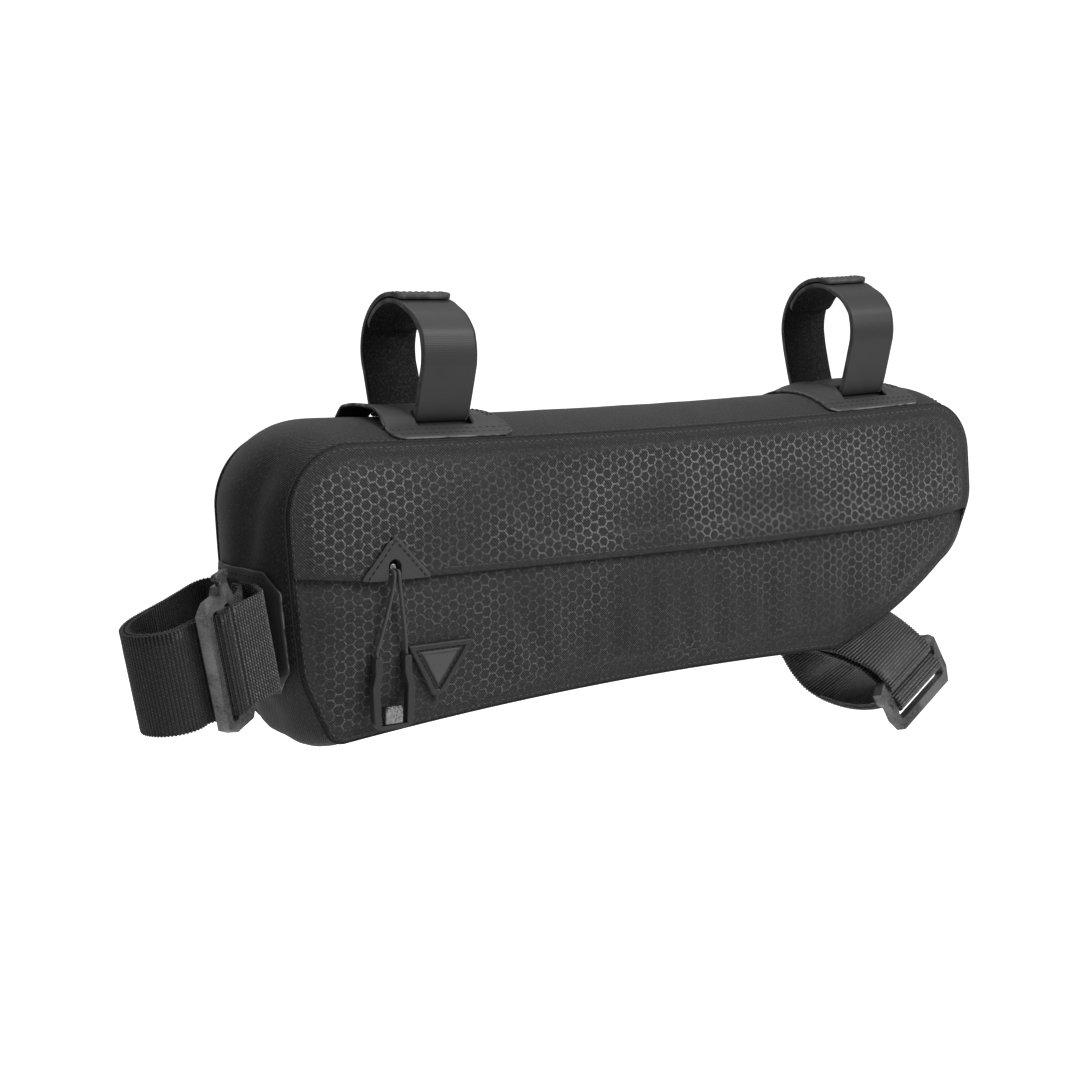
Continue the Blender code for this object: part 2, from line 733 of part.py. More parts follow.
def build_handle(look, crimp_look):
    """Fork-shaped pull with a block in its foot."""
    half = HANDLE_WIDTH / 2
    # Outer side of the fork from the top of an arm down to the foot, as shares of half width and height
    side = (
        # (out, down)
        (0.86, 0.00),
        (0.86, 0.22),
        (1.00, 0.38),
        (0.90, 0.92),
        (0.76, 1.00),
    )
    outer = [(out * half, -down * HANDLE_HEIGHT) for out, down in side]
    foot = HANDLE_HEIGHT - HANDLE_ARM * 0.5
    inner = [(u - HANDLE_ARM, max(v, -foot)) for u, v in outer[:-1]]
    inner[-1] = (outer[-2][0] - HANDLE_ARM, -foot)
    right = outer + [(-u, v) for u, v in reversed(outer)]
    left = [(-u, v) for u, v in inner] + list(reversed(inner))
    loop = right + left

    def place(p):
        return (HANDLE_X + p[0], HANDLE_Y + p[2], HANDLE_TOP_Z + p[1])

    handle = flat_shape("pull_handle", [loop], HANDLE_THICKNESS, HANDLE_THICKNESS * 0.15, look, place)
    bpy.ops.mesh.primitive_cube_add(
        size=1,
        location=(HANDLE_X, HANDLE_Y, HANDLE_TOP_Z - foot + SEAT_GAP + CRIMP_HEIGHT / 2),
    )
    crimp = bpy.context.object
    crimp.name = "pull_crimp"
    crimp.scale = (CRIMP_WIDTH, HANDLE_THICKNESS, CRIMP_HEIGHT)
    bpy.ops.object.transform_apply(location=False, rotation=False, scale=True)
    bevel = crimp.modifiers.new("edges", "BEVEL")
    bevel.width = HANDLE_THICKNESS * 0.2
    bevel.segments = 2
    adopt(crimp, crimp_look)
    return handle, crimp


def cord_routes():
    """Chosen points of the two strands from the slider to the arms of the pull."""
    arm = HANDLE_WIDTH / 2 * 0.86 - HANDLE_ARM / 2
    start_y = SLIDER_FACE_Y - 2 * SEAT_GAP
    clear_y = min(start_y, HANDLE_Y)
    top = HANDLE_TOP_Z + SEAT_GAP
    routes = []
    for side in (-1, 1):
        start_x = NOTCH_X + side * (CORD_DIAMETER / 2 + LAYER_GAP / 2)
        end_x = HANDLE_X + side * arm
        points = [(start_x, start_y, SLIDER_Z - SLIDER_HEIGHT * 0.1)]
        for drop, out, swing in CORD_SHAPE:
            points.append((
                start_x + (end_x - start_x) * swing,
                start_y + (clear_y - CORD_DIAMETER * 0.6 - start_y) * out,
                SLIDER_Z - SLIDER_HEIGHT * 0.1 + (top - SLIDER_Z + SLIDER_HEIGHT * 0.1) * drop,
            ))
        points.append((end_x, HANDLE_Y, top))
        routes.append(points)
    return routes


# Hang of each pull-cord strand between the slider and the pull
CORD_SHAPE = (
    # (drop, out, swing towards the arm)
    (0.00, 0.65, 0.00),
    (0.03, 0.95, 0.00),
    (0.10, 1.00, 0.03),
    (0.20, 1.00, 0.10),
    (0.34, 1.00, 0.26),
    (0.52, 0.95, 0.48),
    (0.70, 0.85, 0.70),
    (0.86, 0.60, 0.90),
    (0.95, 0.40, 0.98),
)


def build_cords(look):
    """The two strands of the pull cord as thin tubes."""
    for name, points in zip(("pull_cord_left", "pull_cord_right"), cord_routes()):
        route = smooth_route(points, CORD_DIAMETER * 2.2)
        curve = bpy.data.curves.new(name, "CURVE")
        curve.dimensions = "3D"
        curve.bevel_depth = CORD_DIAMETER / 2
        curve.bevel_resolution = 2
        curve.use_fill_caps = True
        spline = curve.splines.new("POLY")
        spline.points.add(len(route) - 1)
        for point, place in zip(spline.points, route):
            point.co = (*place, 1)
        curve.materials.append(look)
        PARTS.objects.link(bpy.data.objects.new(name, curve))


def patch_grid(centre_run, half_along, along_shares, across_lines, lift):
    """Patch laid on the band: for each place along it, a line of places across, with a lift."""
    rows = []
    for share in along_shares:
        across = across_lines(share)
        run = np.full(len(across), centre_run + share * half_along)
        rows.append(band_surface(run, across, SEAT_GAP + lift(share, across)))
    return np.stack(rows, axis=0)


def build_top_anchor(name, loop_x, arched, look):
    """Smooth patch on the top: sewn along both sides, raised over the strap, with a slit on each side."""
    centre = OUTLINE.run_at(0, loop_x, 0.02, 0.42)
    half = ANCHOR_LENGTH / 2
    bridge = LOOP_STRAP_THICKNESS + 2 * SEAT_GAP + 1.4 * LAYER_GAP

    def lift(share, across):
        place = (share + 1) / 2
        rise = np.interp(place, column(TUNNEL_SECTIONS, 0), column(TUNNEL_SECTIONS, 1)) * ANCHOR_ARCH
        if not arched and place < 0.3:
            rise = 0.6 * ANCHOR_ARCH * smoothstep(place / 0.2)
        rise = max(rise, bridge if abs(share) * half < LOOP_STRAP_WIDTH * 0.62 else 0.0)
        return rise * smoothstep((SLIT_OUTER - np.abs(across)) / SLIT_WIDTH)

    def across_lines(share):
        reach = ANCHOR_SPAN / 2 - ANCHOR_SPAN * 0.05 * max(0.0, (abs(share) - 0.85) / 0.15)
        outer = np.linspace(SLIT_OUTER, reach, 3)
        inner = SLIT_INNER * np.array((0.0, 0.5, 1.0, 1.24))
        half_line = np.concatenate((inner, outer))
        return np.concatenate((-half_line[::-1], half_line[1:]))

    shares = np.array((-1.0, -0.82, -0.64, -0.5, -0.25, 0.0, 0.25, 0.5, 0.64, 0.82, 1.0))
    grid = patch_grid(centre, half, shares, across_lines, lift)
    patch = shell(name, grid, PATCH_THICKNESS, look, lambda p: (0, 0, 1), offset=1.0)
    height = 8 * ANCHOR_ARCH
    level = float(band_surface(centre, 0.0)[0, 2])
    for side in (-1, 1):
        cut(patch, box_cutter(
            f"{name}_slit_{'near' if side < 0 else 'far'}",
            (loop_x, side * (SLIT_INNER + SLIT_OUTER) / 2, level),
            (LOOP_STRAP_WIDTH + 4 * SEAT_GAP, SLIT_OUTER - SLIT_INNER, height),
        ))
    return patch


SLIT_OUTER = LOOP_RADIUS * 0.86
SLIT_INNER = SLIT_OUTER - SLIT_WIDTH


def loop_route(loop_x, rise):
    """Centre line of a top loop from its free end inside, once round the tube and over its own start."""
    layer = LOOP_STRAP_THICKNESS + LAYER_GAP
    centre = OUTLINE.run_at(0, loop_x, 0.02, 0.42)

    runs = centre + np.linspace(-0.55, 0.55, 5) * LOOP_STRAP_WIDTH
    _, normal = OUTLINE.at(centre)
    slope = -normal[0, 0] / normal[0, 1]

    def on_band(across):
        places = band_surface(runs, across, SEAT_GAP + LOOP_STRAP_THICKNESS / 2)
        return (across, float(np.max(places[:, 2] - slope * (places[:, 0] - loop_x))))

    def on_circle(degrees, radius):
        angle = math.radians(degrees)
        return (radius * math.cos(angle), rise * (1 if math.sin(angle) > -0.3 else 0)
                + radius * math.sin(angle))

    inner = LOOP_RADIUS - layer
    route = [on_circle(a, inner - 0.4 * LAYER_GAP) for a in range(24, 121, 12)]
    route += [on_circle(138, inner + layer * 0.5)]
    route += [on_circle(a, LOOP_RADIUS) for a in range(156, 206, 10)]
    side = (SLIT_INNER + SLIT_OUTER) / 2
    low = on_band(side)[1] + LOOP_STRAP_THICKNESS * 1.4
    turn_in = on_band(SLIT_INNER)[1] + LAYER_GAP * 1.2
    under = [(-side, low), (-SLIT_INNER, turn_in)]
    under += [on_band(across) for across in np.linspace(-SLIT_INNER * 0.7, SLIT_INNER * 0.7, 5)]
    under += [(SLIT_INNER, turn_in), (side, low)]
    route += under
    route += [on_circle(a, LOOP_RADIUS) for a in range(-25, 116, 12)]
    return [(loop_x, y, z) for y, z in route]


def build_top_loop(name, loop_x, rise, look):
    """Hook-and-loop strap round the top tube."""
    route = smooth_route(loop_route(loop_x, rise), LOOP_RADIUS * 0.16)
    _, normal = OUTLINE.at(OUTLINE.run_at(0, loop_x, 0.02, 0.42))
    widthways = np.tile((normal[0, 1], 0.0, -normal[0, 0]), (len(route), 1))
    return ribbon(name, route, widthways, LOOP_STRAP_WIDTH, LOOP_STRAP_THICKNESS, look)


class StrapFrame:
    """Plane of a strap loop: out of the bag, across it (world Y) and along the tube that it holds."""

    def __init__(self, run, angle, yaw=0.0, dip=0.0):
        self.run = run
        self.origin = band_surface(run, 0.0)[0]
        self.out = np.array((math.cos(angle), 0.0, math.sin(angle)))
        self.along = np.array((self.out[2], 0.0, -self.out[0]))
        _, normal = OUTLINE.at(run)
        self.face_turn = math.atan2(normal[0, 1], normal[0, 0]) - angle
        self.face_turn = math.remainder(self.face_turn, 2 * math.pi)
        self.twist = -math.tan(yaw) * np.array((0.0, 1.0, 0.0)) - math.tan(dip) * self.out

    def point(self, out, across):
        """World place of a strap-plane place."""
        return self.origin + self.out * out + np.array((0.0, across, 0.0))

    def widthways(self, turn):
        """Direction across the strap, from lying on the bag's face at 0 to the buckle's bars at 1."""
        angle = (1 - turn) * self.face_turn
        way = self.along * math.cos(angle) + self.out * math.sin(angle) + self.twist * turn
        return way / np.linalg.norm(way)

    def ribbon(self, name, route, look):
        """Webbing along rows of out, across and turn."""
        centres = [self.point(out, across) for out, across, _ in route]
        sides = [self.widthways(turn) for _, _, turn in route]
        return ribbon(name, centres, sides, WEBBING_WIDTH, WEBBING_THICKNESS, look)


def wrap_arc(centre, radius, start, end, count):
    """Rows of an arc round a buckle's bar in the strap's plane."""
    return [
        (centre[0] + radius * math.cos(a), centre[1] + radius * math.sin(a), 1.0)
        for a in np.linspace(start, end, count)
    ]


def inside_layer(route, first, last, layer):
    """The strap's tail: the route walked back, one layer nearer the tube."""
    middle = np.array((np.mean([row[0] for row in route]), np.mean([row[1] for row in route])))
    rows = []
    for i in range(last, first, -1):
        here, before, after = (np.array(route[k][:2]) for k in (i, i - 1, min(i + 1, len(route) - 1)))
        way = (after - before) / np.linalg.norm(after - before)
        side = np.array((-way[1], way[0]))
        if side @ (middle - here) < 0:
            side = -side
        rows.append((*(here + side * layer), route[i][2]))
    return rows


BAR_CORNER = math.hypot(BUCKLE_BAR / 2, BUCKLE_BAR / 2 - BUCKLE_CHAMFER)
WRAP_RADIUS = BAR_CORNER + 2 * SEAT_GAP + WEBBING_THICKNESS / 2
BAR_PITCH = 2 * WRAP_RADIUS + WEBBING_THICKNESS + LAYER_GAP
BUCKLE_LENGTH = WEBBING_WIDTH + 2 * BUCKLE_SIDE + 12 * SEAT_GAP
BUCKLE_DEPTH = 2 * BAR_PITCH + BUCKLE_BAR


def build_buckle(name, frame, middle, way, look):
    """Ladder buckle: a chamfered frame with three bars and a thumb lug at one end."""
    half_long = BUCKLE_LENGTH / 2
    half_short = BUCKLE_DEPTH / 2
    clip = BUCKLE_SIDE * 0.8
    lug = BUCKLE_SIDE * 0.7
    outer = [
        (-half_long + clip, -half_short),
        (half_long - clip, -half_short),
        (half_long + lug, -half_short + clip),
        (half_long + lug, -half_short + 2.6 * clip),
        (half_long, -half_short + 3.4 * clip),
        (half_long, half_short - 2 * clip),
        (half_long - clip, half_short),
        (-half_long + clip, half_short),
        (-half_long, half_short - 2 * clip),
        (-half_long, -half_short + clip),
    ]
    hole_half = half_long - BUCKLE_SIDE
    slot = (BAR_PITCH - BUCKLE_BAR) / 2
    holes = [
        [
            (-hole_half, between - slot),
            (hole_half, between - slot),
            (hole_half, between + slot),
            (-hole_half, between + slot),
        ]
        for between in (-BAR_PITCH / 2, BAR_PITCH / 2)
    ]
    long_way = frame.widthways(1.0)
    short_way = frame.out * way[0] + np.array((0.0, way[1], 0.0))
    short_way = short_way - (short_way @ long_way) * long_way
    short_way /= np.linalg.norm(short_way)
    face = np.cross(long_way, short_way)
    centre = frame.point(*middle)

    def place(p):
        return centre + long_way * p[0] + short_way * p[1] + face * p[2]

    return flat_shape(name, [outer, *holes], BUCKLE_BAR, BUCKLE_CHAMFER, look, place)


def build_strap(names, frame, route, loop_depth, lift, middle, way, wraps, tail_ends, looks):
    """Strap with its tail folded back inside, the tab that holds the buckle, and the buckle."""
    strap_name, tab_name, buckle_name = names
    webbing, buckle_look = looks
    layer = WEBBING_THICKNESS + LAYER_GAP
    way = np.array(way) / math.hypot(*way)
    middle = np.array(middle)
    long_way = frame.widthways(1.0)
    plane_way = frame.out * way[0] + np.array((0.0, way[1], 0.0))
    stretch = 1 / math.sqrt(1 - float(plane_way @ long_way) ** 2)
    radius = WRAP_RADIUS * stretch
    inner_bar = middle - way * BAR_PITCH * stretch
    toward = math.atan2(way[1], way[0])

    rows = [(lift + out * loop_depth, across * BAG_WIDTH, turn) for out, across, turn in route]
    main_run = [tuple(row) for row in smooth_route(rows, loop_depth * 0.09, 2)]
    wrap = wrap_arc(middle, radius, toward, toward - wraps, 10)
    count = len(main_run)
    tail = inside_layer(main_run, int(count * tail_ends[0]), int(count * tail_ends[1]), layer)
    frame.ribbon(strap_name, main_run + wrap + tail, webbing)

    face_way = np.array((way[1], -way[0]))
    if face_way[1] > 0:
        face_way = -face_way
    near_point = inner_bar + face_way * radius
    back_point = inner_bar - face_way * radius
    crown = band_drop(frame)
    outer = [
        (lift + (near_point[0] - lift) * out - crown(near_point[1] * across), near_point[1] * across, turn)
        for out, across, turn in TAB_OUTER
    ]
    inner = [
        (lift + layer + (back_point[0] - lift - layer) * out - crown(back_point[1] * across),
         back_point[1] * across, turn)
        for out, across, turn in TAB_INNER
    ]
    start = math.atan2(face_way[1], face_way[0])
    coming_in = near_point - np.array(outer[-1][:2])
    going_out = np.array(inner[0][:2]) - back_point
    lead = toward - math.atan2(coming_in[1], coming_in[0])
    lag = math.remainder(toward + math.pi - math.atan2(going_out[1], going_out[0]), 2 * math.pi)
    turn_over = wrap_arc(inner_bar, radius, start - lead, start + math.pi - lag, 9)
    step = WEBBING_WIDTH * 0.1
    going = [tuple(row) for row in smooth_route(outer + [turn_over[0]], step, 2)]
    coming = [tuple(row) for row in smooth_route([turn_over[-1]] + inner, step, 2)]
    frame.ribbon(tab_name, going + turn_over[1:-1] + coming, webbing)
    build_buckle(buckle_name, frame, middle, way, buckle_look)


def band_drop(frame):
    """How far the band's crown falls away from its middle under a strap."""
    def drop(across):
        place = band_surface(frame.run, across)[0]
        return float((frame.origin - place) @ frame.out)

    return drop


def build_seat_patch(run, look):
    """Smooth patch with clipped corners under the seat-tube strap."""
    def across_lines(share):
        reach = SEAT_PATCH_WIDTH / 2 * (1 - 0.3 * max(0.0, (abs(share) - 0.66) / 0.34))
        return np.linspace(-1, 1, 9) * reach

    shares = np.array((-1.0, -0.83, -0.66, -0.33, 0.0, 0.33, 0.66, 0.83, 1.0))
    grid = patch_grid(run, SEAT_PATCH_HEIGHT / 2, shares, across_lines, lambda share, across: 0.0)
    return shell(
        "seat_anchor_patch", grid, PATCH_THICKNESS, look, lambda p: (-1, 0, 0), offset=1.0,
    )


def main():
    """Builds every piece."""
    band_cloth = material("coated_cloth", (0.018, 0.018, 0.019), 0.62)
    panel_cloth = material("honeycomb_cloth", (0.045, 0.045, 0.047), 0.6)
    smooth = material("smooth_patch", (0.03, 0.03, 0.031), 0.45)
    zip_look = material("zip_tape", (0.012, 0.012, 0.012), 0.6)
    metal = material("slider_metal", (0.2, 0.2, 0.21), 0.3, 0.9)
    cord = material("pull_cord", (0.06, 0.06, 0.062), 0.6)
    moulded = material("moulded_pull", (0.02, 0.02, 0.021), 0.4)
    glossy = material("crimp_metal", (0.3, 0.3, 0.31), 0.2, 0.8)
    loop_cloth = material("hook_and_loop", (0.02, 0.02, 0.021), 0.55)
    webbing = material("ribbed_webbing", (0.015, 0.015, 0.016), 0.7)
    buckle_look = material("buckle_metal", (0.09, 0.09, 0.093), 0.4, 0.6)
    build_band(band_cloth)
    upper, _, _ = build_side_panels(panel_cloth, band_cloth)
    build_zip(zip_look)
    build_garage_and_slider(upper, smooth, metal)
    build_handle(moulded, glossy)
    build_cords(cord)
    triangle_patch(
        "badge_patch", BADGE_TOP_Z, -BADGE_HEIGHT, BADGE_WIDTH, BADGE_X, BADGE_WIDTH * -0.02,
        lower_depth, BADGE_THICKNESS, smooth, 0.12,
    )
    build_top_anchor("top_anchor_rear", -LOOP_SPACING / 2, True, smooth)
    build_top_anchor("top_anchor_front", LOOP_SPACING / 2, False, smooth)
    build_top_loop("top_loop_rear", -LOOP_SPACING / 2, 0.0, loop_cloth)
    build_top_loop("top_loop_front", LOOP_SPACING / 2, FRONT_LOOP_RISE, loop_cloth)

    seat_run = OUTLINE.run_at(1, TOP_SEAM_Z - BAG_HEIGHT * 0.61, 0.88, 0.99)
    build_seat_patch(seat_run, smooth)
    build_strap(
        ("seat_strap", "seat_strap_tab", "seat_buckle"),
        StrapFrame(seat_run, math.pi + SEAT_STRAP_LEAN),
        SEAT_ROUTE, SEAT_LOOP_DEPTH, 2 * SEAT_GAP + PATCH_THICKNESS + WEBBING_THICKNESS / 2,
        (SEAT_LOOP_DEPTH * 0.474, -BAG_WIDTH * 0.617), (0.78, -0.625), math.radians(270), (0.45, 0.97),
        (webbing, buckle_look),
    )
    down_run = OUTLINE.run_at(0, REAR_X + BAG_LENGTH * 0.826, 0.42, 0.6)
    build_strap(
        ("down_strap", "down_strap_tab", "down_buckle"),
        StrapFrame(down_run, -DOWN_STRAP_LEAN, DOWN_STRAP_YAW, DOWN_STRAP_DIP),
        DOWN_ROUTE, DOWN_LOOP_DEPTH, SEAT_GAP + WEBBING_THICKNESS / 2,
        (DOWN_LOOP_DEPTH * 0.735, -BAG_WIDTH * 0.70), (0.995, -0.10), math.radians(180), (0.52, 0.90),
        (webbing, buckle_look),
    )


for old in list(bpy.data.objects):
    bpy.data.objects.remove(old)
PARTS = bpy.data.collections.new("bicycle_frame_bag")
CUTTERS = bpy.data.collections.new("cutters")
bpy.context.scene.collection.children.link(PARTS)
bpy.context.scene.collection.children.link(CUTTERS)
main()
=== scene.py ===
"""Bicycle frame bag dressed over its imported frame: cloth, patches, loops, webbing straps and buckles.

Row frame: metres, +Z up, +X to the front of the bicycle, the zip side faces -Y. The origin is on the axis of
the top tube, midway between the two top loops.
"""

import logging
import math
from dataclasses import dataclass
from enum import Enum
from typing import Callable, Sequence

import bmesh
import bpy
import numpy as np
from mathutils import Matrix, Vector, noise


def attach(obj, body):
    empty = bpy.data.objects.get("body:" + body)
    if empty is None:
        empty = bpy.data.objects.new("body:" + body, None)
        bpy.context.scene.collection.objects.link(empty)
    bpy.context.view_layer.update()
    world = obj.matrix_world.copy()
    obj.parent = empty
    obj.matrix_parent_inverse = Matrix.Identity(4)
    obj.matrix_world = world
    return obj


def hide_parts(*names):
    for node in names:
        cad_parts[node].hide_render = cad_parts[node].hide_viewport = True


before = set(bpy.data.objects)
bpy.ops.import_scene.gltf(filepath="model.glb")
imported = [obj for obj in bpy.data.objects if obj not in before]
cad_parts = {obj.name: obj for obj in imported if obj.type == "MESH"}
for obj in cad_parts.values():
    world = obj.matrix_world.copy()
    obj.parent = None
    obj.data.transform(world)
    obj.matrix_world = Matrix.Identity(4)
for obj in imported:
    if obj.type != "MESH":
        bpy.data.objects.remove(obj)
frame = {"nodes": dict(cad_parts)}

logging.basicConfig(level=logging.INFO, format="%(message)s")
LOG = logging.getLogger("frame_bag")

MM = 0.001
Array = np.ndarray
Socket = bpy.types.NodeSocket


class Side(Enum):
    """Which side of the bag a piece is on, as the sign of its Y."""

    NEAR = -1
    FAR = 1


class Thread(Enum):
    """The two sewing threads."""

    LIGHT = "light"
    DARK = "dark"


def smoothstep(t: Array | float) -> Array | float:
    """Eased 0 to 1 ramp."""
    t = np.clip(t, 0.0, 1.0)
    return t * t * (3 - 2 * t)


def column(table: Sequence[Sequence[float]], index: int) -> Array:
    """One column of a table as an array."""
    return np.array([row[index] for row in table])


def smooth_route(points: Sequence[Sequence[float]], step: float, places: int = 3) -> Array:
    """Evenly spaced rows on a smooth curve through the given ones.

    Args:
        points: Rows whose first columns are the place.
        step: Distance between the rows that come out.
        places: How many columns hold the place.

    Returns:
        The new rows.
    """
    points = np.asarray(points, float)
    padded = np.vstack((2 * points[0] - points[1], points, 2 * points[-1] - points[-2]))
    fine = []
    for i in range(1, len(padded) - 2):
        p0, p1, p2, p3 = padded[i - 1 : i + 3]
        for t in np.linspace(0, 1, 12, endpoint=False):
            fine.append(
                0.5 * (2 * p1 + (p2 - p0) * t + (2 * p0 - 5 * p1 + 4 * p2 - p3) * t**2
                       + (3 * p1 - p0 - 3 * p2 + p3) * t**3)
            )
    fine.append(points[-1])
    fine = np.array(fine)
    run = np.concatenate(([0], np.cumsum(np.linalg.norm(np.diff(fine[:, :places], axis=0), axis=1))))
    count = max(2, round(run[-1] / step))
    even = np.linspace(0, run[-1], count + 1)
    return np.column_stack([np.interp(even, run, fine[:, k]) for k in range(fine.shape[1])])


class Outline:
    """Rounded side outline of the bag in the XZ plane, walked from the rear top corner over the top."""

    def __init__(self, corners: Array, radii: Array, bows: Array, edge_step: float, arc_step: float) -> None:
        """Lays out the rounded corners and bowed edges."""
        self.edge_step = edge_step
        self.arc_step = arc_step
        count = len(corners)
        arcs = [
            self.corner_arc(corners[i - 1], corners[i], corners[(i + 1) % count], radii[i])
            for i in range(count)
        ]
        points: list[Array] = []
        for i, arc in enumerate(arcs):
            points.extend(arc)
            points.extend(self.bowed_edge(arc[-1], arcs[(i + 1) % count][0], bows[i]))
        self.points = np.array(points)
        ahead = np.roll(self.points, -1, axis=0)
        behind = np.roll(self.points, 1, axis=0)
        along = ahead - behind
        along /= np.linalg.norm(along, axis=1)[:, None]
        self.normals = np.column_stack((-along[:, 1], along[:, 0]))
        steps = np.linalg.norm(ahead - self.points, axis=1)
        self.length = float(steps.sum())
        self.run = np.concatenate(([0.0], np.cumsum(steps)[:-1]))

    def corner_arc(self, before: Array, corner: Array, after: Array, radius: float) -> list[Array]:
        """Points of the arc that rounds one corner."""
        incoming = (corner - before) / np.linalg.norm(corner - before)
        outgoing = (after - corner) / np.linalg.norm(after - corner)
        turn = math.acos(float(np.clip(incoming @ outgoing, -1, 1)))
        inward = np.array((incoming[1], -incoming[0]))
        centre = corner - incoming * radius * math.tan(turn / 2) + inward * radius
        angles = np.linspace(0, turn, max(2, round(turn / self.arc_step)) + 1)
        return [centre - inward * radius * math.cos(a) + incoming * radius * math.sin(a) for a in angles]

    def bowed_edge(self, start: Array, end: Array, bow: float) -> list[Array]:
        """Points between two corners, bowed outwards."""
        span = end - start
        count = max(2, round(float(np.linalg.norm(span)) / self.edge_step))
        outward = np.array((-span[1], span[0])) / np.linalg.norm(span)
        return [start + span * t + outward * bow * 4 * t * (1 - t) for t in np.arange(1, count) / count]

    def at(self, run: Array | float) -> tuple[Array, Array]:
        """Point and outward normal at a distance along the outline."""
        run = np.mod(run, self.length)
        runs = np.append(self.run, self.length)
        values = []
        for array in (self.points, self.normals):
            closed = np.vstack((array, array[:1]))
            values.append(np.column_stack([np.interp(run, runs, closed[:, k]) for k in (0, 1)]))
        point, normal = values
        return point, normal / np.linalg.norm(normal, axis=1)[:, None]

    def run_at(self, axis: int, value: float, low: float, high: float) -> float:
        """Distance along the outline, between two shares of it, where a coordinate takes a value."""
        runs = np.linspace(low * self.length, high * self.length, 1200)
        point, _ = self.at(runs)
        return float(runs[np.argmin(np.abs(point[:, axis] - value))])

    def depth_inside(self, xz: Array) -> Array:
        """Distance of points from the outline."""
        start = self.points
        span = np.roll(self.points, -1, axis=0) - start
        rel = xz[:, None, :] - start[None, :, :]
        share = np.clip((rel * span).sum(-1) / (span * span).sum(-1), 0, 1)
        nearest = start + share[..., None] * span
        return np.linalg.norm(xz[:, None, :] - nearest, axis=-1).min(axis=1)


